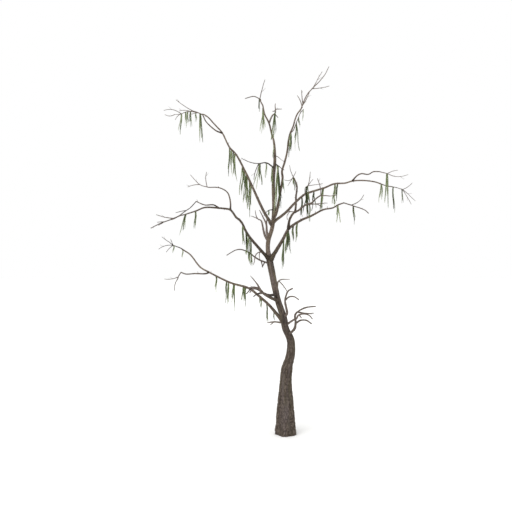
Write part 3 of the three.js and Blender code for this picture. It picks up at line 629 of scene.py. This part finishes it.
def taper(girth, share, power=1.0):
    root, tip = girth
    return (tip + (root - tip) * (1 - share) ** power) / 2


class Limb:
    """A limb's stations, its centre line in space, the radius at each point of it, and its drawn length."""

    def __init__(self, stations, line, radius):
        self.stations = stations
        self.line = line
        self.radius = radius
        self.length = stations[-1, 0]

    def radius_at(self, along):
        spot = points_of(station_at(self.stations, along))
        return self.radius[np.linalg.norm(self.line - spot, axis=1).argmin()]

    def underside(self, along):
        """A point just inside the bark under the limb, and the limb's direction there."""
        before, after = (points_of(station_at(self.stations, along + s)) for s in (-PROBE, PROBE))
        tangent = unit(after - before)
        down = unit(np.array((0.0, 0.0, -1.0)) + tangent * tangent[2])
        return (before + after) / 2 + down * self.radius_at(along) * HANG_SHARE, tangent


# Seeded noise


def lattice_share(*corner):
    """A fixed share between 0 and 1 for each corner of a lattice of whole numbers."""
    mask = 0xFFFFFFFF
    first, second = LATTICE_SHIFTS
    scrambled = sum(place * times for place, times in zip(corner, LATTICE_TIMES)) & mask
    scrambled = ((scrambled ^ (scrambled >> first)) * LATTICE_MIX) & mask
    return ((scrambled ^ (scrambled >> second)) & 0xFFFF) / 0xFFFF


def eased(share):
    """A share from 0 to 1 that starts and ends slowly."""
    return share * share * (3 - 2 * share)


def noise(points):
    """Smooth noise between 0 and 1 at each point."""
    cell = np.floor(points).astype(np.int64)
    part = eased(points - cell)
    total = np.zeros(points.shape[:-1])
    for corner in itertools.product((0, 1), repeat=3):
        weight = np.prod(np.where(corner, part, 1 - part), axis=-1)
        total += weight * lattice_share(*np.moveaxis(cell + np.array(corner), -1, 0))
    return total


def smoothstep(low, high, value):
    return eased(np.clip((value - low) / (high - low), 0, 1))


# Meshes: every shape is points, triangles and a colour slot for each triangle


def tube(rings):
    """A closed tube over rings of points, with a fan over each end."""
    count, sides = rings.shape[:2]
    ring, side = np.meshgrid(np.arange(count - 1), np.arange(sides), indexing="ij")
    # The corners of each quad: a and b on one ring, c and d over them on the next
    a, b = ring * sides + side, ring * sides + (side + 1) % sides
    c, d = a + sides, b + sides
    walls = np.stack([np.stack([a, b, d], -1), np.stack([a, d, c], -1)], 2).reshape(-1, 3)
    first, last = count * sides, count * sides + 1
    rim = np.arange(sides)
    ahead = (rim + 1) % sides
    top = (count - 1) * sides
    near = np.stack([np.full(sides, first), ahead, rim], -1)
    far = np.stack([np.full(sides, last), top + rim, top + ahead], -1)
    points = np.vstack([rings.reshape(-1, 3), rings[0].mean(0), rings[-1].mean(0)])
    return points, np.vstack([walls, near, far])


def round_limb(line, radius, sides):
    """A plain round tube along a line."""
    _, out = spokes(line, sides)
    return tube(line[:, None] + out * np.reshape(radius, (-1, 1, 1)))


class Pile:
    """Shapes of one kind gathered into one mesh."""

    def __init__(self):
        self.points = []
        self.triangles = []
        self.slots = []
        self.size = 0

    def add(self, shape, slot):
        points, triangles = shape
        self.points.append(points)
        self.triangles.append(triangles + self.size)
        self.slots.append(np.broadcast_to(slot, len(triangles)))
        self.size += len(points)

    def to_object(self, name, materials):
        points, triangles = np.vstack(self.points), np.vstack(self.triangles)
        return to_object(name, points, triangles, materials, np.concatenate(self.slots))


def add_to_scene(name, data):
    made = bpy.data.objects.new(name, data)
    bpy.context.scene.collection.objects.link(made)
    return made


def to_object(name, points, triangles, materials, slots=0):
    mesh = bpy.data.meshes.new(name)
    mesh.from_pydata(points, [], triangles, shade_flat=False)
    slots = np.broadcast_to(slots, len(triangles)).astype(np.int32)
    mesh.polygons.foreach_set("material_index", slots)
    for material in materials:
        mesh.materials.append(material)
    return add_to_scene(name, mesh)


def carry(made, nodes):
    """The piece rides on the plant's one body and stands for its solids."""
    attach(made, "root")
    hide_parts(*nodes)


# Materials


def new_material(name, roughness):
    material = bpy.data.materials.new(name)
    material.use_nodes = True
    shader = material.node_tree.nodes["Principled BSDF"]
    shader.inputs["Roughness"].default_value = roughness
    shader.inputs["Specular IOR Level"].default_value = SPECULAR
    return material, material.node_tree, shader


def plain_material(name, colour, roughness):
    material, _, shader = new_material(name, roughness)
    shader.inputs["Base Color"].default_value = (*colour, 1)
    return material


def tone_materials(kind, tints):
    return [plain_material(f"{kind}_{i + 1}", tint, ROUGHNESS[kind]) for i, tint in enumerate(tints)]


def add_node(tree, kind, inputs, **settings):
    """A node with its settings, and each input linked to a socket or set to a plain value."""
    node = tree.nodes.new(kind)
    for name, setting in settings.items():
        setattr(node, name, setting)
    for place, value in inputs.items():
        if isinstance(value, bpy.types.NodeSocket):
            tree.links.new(value, node.inputs[place])
        else:
            node.inputs[place].default_value = value
    return node


def read_attribute(tree, name):
    return add_node(tree, "ShaderNodeAttribute", {}, attribute_name=name)


def noise_on(tree, vector, stretch, detail):
    """Noise over a vector stretched by a factor on each axis."""
    scaled = add_node(tree, "ShaderNodeVectorMath", {0: vector, 1: stretch}, operation="MULTIPLY")
    inputs = {"Vector": scaled.outputs[0], "Scale": 1.0, "Detail": detail}
    return add_node(tree, "ShaderNodeTexNoise", inputs).outputs["Fac"]


def ramp(tree, factor, stops):
    node = add_node(tree, "ShaderNodeValToRGB", {"Fac": factor})
    elements = node.color_ramp.elements
    for place, _ in stops[1:-1]:
        elements.new(place)
    for element, (place, colour) in zip(elements, stops):
        element.position = place
        element.color = (*colour, 1)
    return node.outputs["Color"]


def mixed(tree, kind, factor, first, second):
    inputs = dict(zip(MIX_SOCKETS, (factor, first, second)))
    return add_node(tree, "ShaderNodeMix", inputs, data_type="RGBA", blend_type=kind).outputs[MIX_RESULT]


def remapped(tree, value, old, new):
    ranges = dict(zip(("From Min", "From Max", "To Min", "To Max"), (*old, *new)))
    return add_node(tree, "ShaderNodeMapRange", {"Value": value, **ranges}).outputs["Result"]


def bark_material(name, grey):
    """Bark: dark furrows and paler plates, olive and grey patches, and fine fibres along the limb; plate
    and pale also bring in the painted shade round the bough roots.
    """
    material, tree, shader = new_material(name, ROUGHNESS["bark"])
    grain = read_attribute(tree, "grain").outputs["Vector"]
    # The plate and pale attributes also hold painted shade round the roots of the boughs
    plate = read_attribute(tree, "plate").outputs["Fac"]
    colour = ramp(tree, plate, BARK_TONES)
    for tint, (stretch, detail, band, most) in ((BARK_OLIVE, OLIVE_PATCHES), (grey, GREY_PATCHES)):
        patches = remapped(tree, noise_on(tree, grain, stretch, detail), band, (0, most))
        colour = mixed(tree, "MIX", patches, colour, (*tint, 1))
    fibres = noise_on(tree, grain, FIBRE_STRETCH, FIBRE_DETAIL)
    colour = mixed(tree, "MULTIPLY", 1.0, colour, remapped(tree, fibres, FIBRE_BAND, FIBRE_SHADE))
    pale = read_attribute(tree, "pale").outputs["Fac"]
    colour = mixed(tree, "MULTIPLY", 1.0, colour, remapped(tree, pale, (0, 1), (1, PALE_LIFT)))
    tree.links.new(colour, shader.inputs["Base Color"])
    rough = remapped(tree, fibres, FIBRE_BAND, FIBRE_ROUGHNESS)
    tree.links.new(rough, shader.inputs["Roughness"])
    heights = {"Strength": BUMP_STRENGTH, "Distance": BUMP_DEPTH, "Height": fibres}
    bump = add_node(tree, "ShaderNodeBump", heights)
    tree.links.new(bump.outputs["Normal"], shader.inputs["Normal"])
    return material


# Bark


def bark_plates(grain, fibre):
    """How far the bark stands out, from 0 in a furrow to 1 on a plate, for points unrolled by grain."""
    width, length = fibre
    across = np.array((width, width, length))

    def bark_noise(kind):
        size, shift = BARK_NOISES[kind]
        return noise(grain / (across * size) + shift)

    weave = (bark_noise("weave") - 0.5) * width * WEAVE_REACH
    grain = grain + weave[..., None] * (1.0, 1.0, 0.0)
    furrow = np.abs(2 * bark_noise("furrow") - 1)
    split = np.abs(2 * bark_noise("split") - 1)
    plates = smoothstep(*FURROW_EDGE, furrow) * smoothstep(*SPLIT_EDGE, split)
    fine = FIBRE_SHARE * bark_noise("fibre") + FLAKE_SHARE * bark_noise("flake")
    return np.clip(PLATE_SHARE * plates + fine, 0, 1)


def knots(draw, length):
    """Old knots along a limb: distance along, angle round, height and reach as shares of the radius."""
    found = []
    for _, share in dealt_along(round(length / KNOT_EVERY), draw):
        turn = 2 * math.pi * draw()
        found.append((length * share, turn, between(*KNOT_HEIGHT, draw()), between(*KNOT_REACH, draw())))
    return found


def bark_rings(line, radius, sides, fibre, marks, shape=None):
    """Rings of a limb's bark, with the grain that unrolls it and the height of its plates."""
    angle, out = spokes(line, sides)
    along = lengths_along(line)
    core = radius[0]
    turned = np.broadcast_to(angle, (len(line), sides))
    grain = np.stack([
        core * np.cos(turned), core * np.sin(turned), np.broadcast_to(along[:, None], turned.shape),
    ], -1)
    plate = bark_plates(grain, fibre)
    reach = np.repeat(radius[:, None], sides, 1)
    if shape is not None:
        reach = reach * shape(line, out)
    for place, turn, height, size in marks:
        near = np.interp(place, along, radius)
        off = np.angle(np.exp(1j * (turned - turn)))
        apart = ((along[:, None] - place) / (size * near)) ** 2 + (off / size) ** 2
        reach = reach + height * near * np.exp(-apart)
    depth = RELIEF_SHARE * radius[:, None] + RELIEF_LEAST
    reach = reach + depth * between(*RELIEF_SPAN, plate)
    return line[:, None] + out * reach[..., None], grain, plate


def set_attribute(made, name, kind, values):
    field = "vector" if kind == "FLOAT_VECTOR" else "value"
    attribute = made.data.attributes.new(name, kind, "POINT")
    attribute.data.foreach_set(field, values.astype(np.float32).ravel())


def unroll(made, count, sides, columns):
    """A map for the export: the limb's wall cut into side-by-side columns, its ends in a strip above."""
    rows = math.ceil((count - 1) / columns)
    ring, side = np.meshgrid(np.arange(count - 1), np.arange(sides), indexing="ij")
    # The corners of each quad's two triangles, in the order that the tube has them
    rings = (ring[..., None] + np.array((0, 0, 1, 0, 1, 1))).reshape(-1)
    sides_at = (side[..., None] + np.array((0, 1, 1, 0, 1, 0))).reshape(-1)
    column = np.repeat(ring.reshape(-1) // rows, rings.size // ring.size)
    u = (column + between(MAP_MARGIN, 1 - MAP_MARGIN, sides_at / sides)) / columns
    v = MAP_FOOT + MAP_WALL * (rings - column * rows) / rows
    angle = np.arange(sides) * 2 * np.pi / sides
    step = 2 * np.pi / sides
    caps = []
    for across, turns in zip(MAP_ENDS, ((angle + step, angle), (angle, angle + step))):
        middle = np.broadcast_to((across, MAP_END_HEIGHT), (sides, 2))
        rim = [middle + MAP_END_REACH * np.stack([np.cos(t), np.sin(t)], -1) for t in turns]
        caps.append(np.stack([middle, *rim], 1).reshape(-1, 2))
    layer = made.data.uv_layers.new(name="OFBake", do_init=False)
    layer.uv.foreach_set("vector", np.vstack([np.stack([u, v], -1), *caps]).astype(np.float32).ravel())


def bark_object(name, rings, grain, plate, pale, material, columns):
    count, sides = rings.shape[:2]
    made = to_object(name, *tube(rings), [material])
    ends = [0, -1]
    set_attribute(made, "grain", "FLOAT_VECTOR", np.vstack([grain.reshape(-1, 3), grain[ends, 0]]))
    for field, values in (("plate", plate), ("pale", pale)):
        set_attribute(made, field, "FLOAT", np.concatenate([values.ravel(), values[ends].mean(1)]))
    unroll(made, count, sides, columns)
    return made


def flare(line, out):
    """The lobes of the root flare, as a share of the trunk's radius, fading out up the trunk."""
    fade = np.clip(1 - line[:, None, 2] / FLARE_HEIGHT, 0, 1) ** FLARE_FADE
    turn = np.arctan2(out[..., 1], out[..., 0]) - math.radians(FLARE_TURN)
    return 1 + FLARE_DEPTH * fade * np.cos(FLARE_LOBES * turn)


def painted_shade_spots(stations):
    """Spots of painted shade on the trunk: where the boughs and stems come out of its bark, and the extra
    spots.
    """
    roots = []
    for plan in (*BOUGHS.values(), *SPRAYS.values()):
        if plan["on"] == "trunk" and "at" in plan:
            start = station_at(stations, plan["at"])
            centre, ahead = points_of(trace(start, plan["line"][:1], plan["sweep"]))
            roots.append(centre + unit(ahead - centre) * trunk_radius(centre[2]))
    for along, turn in EXTRA_SHADE_SPOTS:
        centre = points_of(station_at(stations, along))
        out = np.array((math.cos(math.radians(turn)), math.sin(math.radians(turn)), 0.0))
        roots.append(centre + out * trunk_radius(centre[2]))
    return roots


def make_trunk(material):
    stations = trace_trunk()
    foot = np.array([[-TRUNK_BURIED, 0.0, -TRUNK_BURIED, 0.0]])
    dense = smooth_line(points_of(np.vstack([foot, stations])), TRUNK_PARTS)
    share = np.linspace(0, 1, TRUNK_RINGS)
    share = (1 - TRUNK_CROWD) * share + TRUNK_CROWD * share**2
    length = lengths_along(dense)[-1] - TRUNK_BURIED
    line = respaced(dense, TRUNK_BURIED + length * share)
    radius = trunk_radius(line[:, 2])
    rings, grain, plate = bark_rings(line, radius, TRUNK_SIDES, TRUNK_FIBRE, [], flare)
    rings[..., 2] = np.maximum(rings[..., 2], 0)
    # Painted shade round the bough roots and at the extra spots darkens the plate attribute
    for root in painted_shade_spots(stations):
        apart = np.linalg.norm(rings - root, axis=2) / PAINTED_SHADE_REACH
        plate = plate * (1 - PAINTED_SHADE_DEPTH * np.exp(-apart**2))
    pale = smoothstep(*PALE_HEIGHTS, rings[..., 2])
    made = bark_object("trunk_bark", rings, grain, plate, pale, material, TRUNK_COLUMNS)
    carry(made, ["trunk"])
    return Limb(stations, line, radius)


def make_bough(name, plan, carrier, material, seed):
    stations = trace(station_at(carrier.stations, plan["at"]), plan["line"], plan["sweep"])
    line = even_line(points_of(stations), BOUGH_STEP)
    share = np.linspace(0, 1, len(line))
    radius = taper(plan["girth"], share, BOUGH_TAPER)
    limb = Limb(stations, line, radius)
    gaps = np.linalg.norm(line[:, None] - carrier.line[None], axis=2)
    held = carrier.radius[gaps.argmin(1)]
    out = np.clip(gaps.min(1) / held - 1, 0, None)
    swollen = radius * (1 + COLLAR_SWELL * np.exp(-out / COLLAR_FADE))
    marks = knots(seeded_shares(seed), lengths_along(line)[-1])
    rings, grain, plate = bark_rings(line, swollen, BOUGH_SIDES, BOUGH_FIBRE, marks)
    paleness = PALE_BOUGHS.get(name, PALE_MOST_BOUGHS)
    # Painted shade darkens the plate and pale attributes near the bough's root
    root_unshaded = 1 - (1 - paleness) * np.exp(-(out / ROOT_SHADE_REACH) ** 2)
    plate = plate * root_unshaded[:, None]
    pale = np.full(plate.shape, paleness) * root_unshaded[:, None]
    made = bark_object(f"bough_bark_{name}", rings, grain, plate, pale, material, BOUGH_COLUMNS)
    carry(made, [f"bough_{name}"])
    return limb


# Twigs


def twig_stations(start, length, angle, sweep, bends):
    """A twig leaves its parent at a station and bends a little at each of its equal stretches."""
    headings = angle + np.cumsum(bends)
    return trace(start, [(length / len(bends), heading) for heading in headings], sweep)


def deal_twig(start, length, curl, angle, index, draw):
    """One leading twig and its side twigs, dealt from the seed in the solids' order."""
    reach = length * (1 + TWIG_SPREAD * (2 * draw() - 1))
    sweep = TWIG_SWEEP * between(TWIG_LEAST, 1, draw()) * (-1 if draw() < 0.5 else 1)
    bends = [turn + TWIG_BEND * (2 * draw() - 1) for turn in (-curl, curl, curl)]
    leader = twig_stations(start, reach, angle, sweep, bends)
    sides = []
    for i, share in dealt_along(int(length / SIDE_EVERY), draw):
        along = reach * between(*SIDE_PLACES, share)
        turn = between(*SIDE_SPREAD, draw()) * (1 if (i + index) % 2 else -1)
        size = reach * SIDE_REACH * between(SIDE_LEAST, 1, draw())
        lean = SIDE_SWEEP * (2 * draw() - 1)
        sides.append(twig_stations(station_at(leader, along), size, angle + turn, lean, [0]))
    return leader, sides


def wobbled(line, size):
    """The line with small kinks that grow from its root."""
    share = np.linspace(0, 1, len(line))[:, None]
    kinks = np.stack([noise(line * WOBBLE_PITCH + shift) for shift in WOBBLE_SHIFTS], 1) - 0.5
    return line + kinks * size * np.minimum(1, WOBBLE_RISE * share)


def add_twig(pile, stations, girth, sides, slot):
    """A knobbly twig along its stations. Returns its line and radius."""
    line = wobbled(even_line(points_of(stations), TWIG_STEP, TWIG_RINGS), TWIG_WOBBLE)
    share = np.linspace(0, 1, len(line))
    radius = taper(girth, share) * between(*KNOB_SPAN, noise(line * KNOB_PITCH))
    pile.add(round_limb(line, radius, sides), slot)
    return line, radius


def branch_off(line, radius, share, turn, roll, length):
    """A short line that leaves another at an angle to it, rolled round it."""
    i = min(len(line) - 2, int(share * (len(line) - 1)))
    tangent = unit(line[i + 1] - line[i])
    side = unit(np.cross(tangent, ROLL_FROM))
    out = math.cos(roll) * side + math.sin(roll) * np.cross(tangent, side)
    heading = math.cos(turn) * tangent + math.sin(turn) * out
    start = line[i] + out * radius[i] * BRANCH_SUNK
    lift = np.array((0.0, 0.0, BRANCH_LIFT * length))
    return np.array([start, start + heading * length / 2, start + heading * length + lift])


def add_round(pile, line, girth, sides, slot):
    """A plain tapering twig along a line."""
    pile.add(round_limb(line, taper(girth, np.linspace(0, 1, len(line))), sides), slot)


def add_finer(pile, line, radius, draw, slot):
    """Fine twigs and spurs along a twig, which the solids leave out."""
    length = lengths_along(line)[-1]
    for _, share in dealt_along(int(length / FINE_EVERY), draw):
        share = between(*FINE_PLACES, share)
        turn = math.radians(between(*FINE_TURNS, draw()))
        size = between(*FINE_LENGTH, draw()) * (1 - FINE_SHORTER * share)
        fine = branch_off(line, radius, share, turn, 2 * math.pi * draw(), size)
        add_round(pile, even_line(fine, FINE_STEP), FINE_GIRTH, FINE_SIDES, slot)
    for i, share in dealt_along(int(length / SPUR_EVERY), draw):
        size = between(*SPUR_LENGTH, draw())
        turn = math.radians(between(*SPUR_TURNS, draw()))
        spur = branch_off(line, radius, share, turn, SPUR_ROLL * i, size)
        add_round(pile, spur, SPUR_GIRTH, FINE_SIDES, slot)


def make_sprays(limbs, pile):
    """Every spray's twigs. Returns its moss strands: the top, the limb's direction, length and turn."""
    strands = []
    for order, (name, plan) in enumerate(SPRAYS.items()):
        draw = seeded_shares(SPRAY_SEED + order)
        finer = seeded_shares(FINE_SEED + order)
        carrier = limbs[plan["on"]]
        start = station_at(carrier.stations, plan.get("at", carrier.length))
        stem = trace(start, plan["line"], plan["sweep"])
        root = plan.get("girth", 2 * STEM_FIT * carrier.radius[-1])
        slot = len(TWIG_TINTS) if name in DARK_SPRAYS else order % len(TWIG_TINTS)
        other = (slot + 1) % len(TWIG_TINTS)
        stem_girth = (root, plan.get("tip", STEM_TIP))
        add_finer(pile, *add_twig(pile, stem, stem_girth, STEM_SIDES, slot), finer, slot)
        for share, length, curl, *angles in plan.get("fans", []):
            start = station_at(stem, share * stem[-1, 0])
            wide = max(LEADER_GIRTH[0], 2 * LEADER_FIT * taper(stem_girth, share))
            girth = (wide, max(LEADER_GIRTH[1], LEADER_SLIM * wide))
            for index, angle in enumerate(angles):
                leader, sides = deal_twig(start, length, curl, angle, index, draw)
                add_finer(pile, *add_twig(pile, leader, girth, LEADER_SIDES, slot), finer, slot)
                for side in sides:
                    add_finer(pile, *add_twig(pile, side, SIDE_GIRTH, SIDE_SIDES, other), finer, other)
        for along, length, turn in deal_strands(plan.get("moss", []), draw):
            top, beside = (points_of(station_at(stem, along + s)) for s in (0, PROBE))
            strands.append((top, unit(beside - top + TINY), length, turn))
    return strands


def add_stubs(pile, limb, seed):
    """Snapped-off twigs along a bough."""
    draw = seeded_shares(seed)
    length = lengths_along(limb.line)[-1]
    for i, share in dealt_along(int(length / STUB_EVERY), draw):
        share = between(*STUB_PLACES, share)
        turn = math.radians(between(*STUB_TURNS, draw()))
        roll = 2 * math.pi * draw()
        size = between(*STUB_LENGTH, draw())
        stub = even_line(branch_off(limb.line, limb.radius, share, turn, roll, size), STUB_STEP)
        add_round(pile, stub, STUB_GIRTH, STUB_SIDES, i % len(TWIG_TINTS))


# Moss


def deal_strands(runs, draw):
    """The strands of some runs: where along the limb each hangs, how long it is and how it is turned."""
    for first, last, count, longest in runs:
        for i in range(count):
            share = (i + STRAND_STRAY * (draw() - 0.5)) / (count - 1) if count > 1 else draw()
            length = longest * (1 - STRAND_SPREAD * draw())
            yield between(first, last, min(1, max(0, share))), length, math.pi * draw()


def moss_strand(top, direction, length, turn, slim, rng):
    """One strand of moss: locks of thin ribbons that hang, curl and run out to ragged tails."""
    count = round(RIBBONS * slim)
    locks = rng.integers(*LOCKS, endpoint=True)
    lock = rng.integers(0, locks, count)
    lock_reach = np.concatenate([[1.0], rng.uniform(*LOCK_REACH, locks - 1)])
    lock_lean = rng.normal(0, STRAND_LEAN, 2) + rng.normal(0, LOCK_LEAN, (locks, 2))
    lock_turn = rng.uniform(0, 2 * np.pi, locks)
    lock_off = rng.uniform(*LOCK_OFF, locks)
    reach = length * lock_reach[lock] * (1 - FRAY * rng.random(count) ** 2)
    along = np.linspace(0, 1, RIBBON_PARTS + 1)
    drop = reach[:, None] * along
    share = drop / length
    body = np.interp(share, *FULLNESS) * slim * STRAND_WIDTH / 2
    around = rng.uniform(0, 2 * np.pi, count)
    off = RIBBON_OFF * np.sqrt(rng.random(count))
    swing = STRAND_SWING * np.sin(2 * np.pi * share)
    curl = rng.uniform(*CURL_SIZE, count)[:, None] * np.minimum(1, CURL_RISE * along)
    spin = 2 * np.pi * drop / rng.uniform(*CURL_PITCH, count)[:, None] + around[:, None] * CURL_APART
    path = np.empty((count, RIBBON_PARTS + 1, 3))
    for axis, wave in ((0, np.cos), (1, np.sin)):
        centre = (lock_off * wave(lock_turn))[lock] + off * wave(around)
        path[..., axis] = top[axis] + body * centre[:, None] + swing * wave(turn) + curl * wave(spin)
        path[..., axis] += lock_lean[lock, axis][:, None] * drop
    path[..., 2] = top[2] - drop
    spread = direction * rng.uniform(-TOP_SPREAD, TOP_SPREAD, (count, 1))
    path += spread[:, None] * (1 - along)[:, None]
    facing = around[:, None] * FACING_APART + RIBBON_TWIST * along
    width = between(*RIBBON_WIDTH, along) / 2
    edge = np.stack([np.cos(facing), np.sin(facing), np.zeros_like(facing)], -1) * width[:, None]
    points = np.stack([path - edge, path + edge], 2).reshape(-1, 3)
    # Two triangles to each part of a ribbon
    base = np.arange(count)[:, None] * 2 * (RIBBON_PARTS + 1) + 2 * np.arange(RIBBON_PARTS)
    triangles = (base[..., None] + np.array((0, 1, 3, 0, 3, 2))).reshape(-1, 3)
    return (points, triangles), lock


def moss_tints(top, lock, rng):
    """A colour slot for each ribbon of a strand: a tone leads in each lock, with others among it."""
    # Strands in the band right of the trunk take darker tones as painted shade
    shaded = SHADE_BAND[0] < top[0] < SHADE_BAND[1] and top[2] < SHADE_HEIGHT
    shares = SHADED_SHARES if shaded else TINT_SHARES
    lead = rng.choice(len(MOSS_TINTS), lock.max() + 1, p=shares)
    stray = rng.choice((-1, 0, 1), len(lock), p=STRAY_SHARES)
    tints = np.clip(lead[lock] + stray, 0, len(MOSS_TINTS) - 1)
    return np.repeat(tints, 2 * RIBBON_PARTS)


def curtain_strands(limbs, side):
    """The strands of the curtains on one side's boughs, and the solids that they stand for."""
    strands, nodes = [], []
    for order, (name, (limb, runs)) in enumerate(CURTAINS.items()):
        if ("left" in name) != (side == "left"):
            continue
        draw = seeded_shares(CURTAIN_SEED + order)
        nodes.append(f"moss_{name}")
        for along, length, turn in deal_strands(runs, draw):
            strands.append((*limbs[limb].underside(along), length, turn))
    return strands, nodes


def make_moss(name, strands, nodes, materials):
    rng = np.random.default_rng(MOSS_SEEDS[name])
    pile = Pile()
    for top, direction, length, turn in strands:
        slim = min(1, max(SLIMMEST, length / FULL_LENGTH[name]))
        shape, lock = moss_strand(top, direction, length, turn, slim, rng)
        pile.add(shape, moss_tints(top, lock, rng))
    carry(pile.to_object(f"hanging_moss_{name}", materials), nodes)


# Floor, light and camera


def floor_material():
    return plain_material("pale_floor", FLOOR_COLOUR, ROUGHNESS["floor"])


def make_stage():
    corners = np.array([(-1, -1, 0), (1, -1, 0), (1, 1, 0), (-1, 1, 0)], float) * FLOOR_REACH
    floor = to_object("floor", corners, np.array([(0, 1, 2), (0, 2, 3)]), [floor_material()])
    floor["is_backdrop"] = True
    world = bpy.data.worlds.new("studio")
    world.use_nodes = True
    background = world.node_tree.nodes["Background"]
    background.inputs["Color"].default_value = (1.0, 1.0, 1.0, 1)
    background.inputs["Strength"].default_value = WORLD_LIGHT
    bpy.context.scene.world = world
    lamp = bpy.data.lights.new("key", "SUN")
    lamp.energy = KEY_LIGHT
    lamp.angle = math.radians(KEY_WIDTH)
    key = add_to_scene("key", lamp)
    key.rotation_euler = (math.radians(90 - KEY_RISE), 0, math.radians(KEY_TURN))


def make_camera():
    camera = bpy.data.cameras.new("camera")
    camera.sensor_width = SENSOR_MM
    camera.lens = FOCAL_PIXELS * SENSOR_MM / FRAME_PIXELS
    placed = add_to_scene("camera", camera)
    placed.location = (EYE_SIDE, -EYE_DISTANCE, EYE_HEIGHT)
    placed.rotation_euler = (math.pi / 2, 0, 0)
    bpy.context.scene.camera = placed


# The whole plant

make_camera()
make_stage()
bpy.context.scene.view_settings.view_transform = "Standard"

bark = bark_material("bark", BARK_GREY)
limbs = {"trunk": make_trunk(bark)}
bough_bark = bark_material("bough_bark", BOUGH_GREY)
for order, (name, plan) in enumerate(BOUGHS.items()):
    limbs[name] = make_bough(name, plan, limbs[plan["on"]], bough_bark, KNOT_SEED + order)

twigs = Pile()
spray_strands = make_sprays(limbs, twigs)
for order, name in enumerate(BOUGHS):
    add_stubs(twigs, limbs[name], STUB_SEED + order)
twig_materials = tone_materials("twig", [*TWIG_TINTS, DARK_TINT])
carry(twigs.to_object("twigs", twig_materials), [f"spray_{name}" for name in SPRAYS])

moss_materials = tone_materials("moss", MOSS_TINTS)
make_moss("sprays", spray_strands, [], moss_materials)
for side in ("left", "right"):
    make_moss(side, *curtain_strands(limbs, side), moss_materials)

boxes = {"cad": cad_box, "visual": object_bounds()}
{name: [list(low), list(high)] for name, (low, high) in boxes.items()}
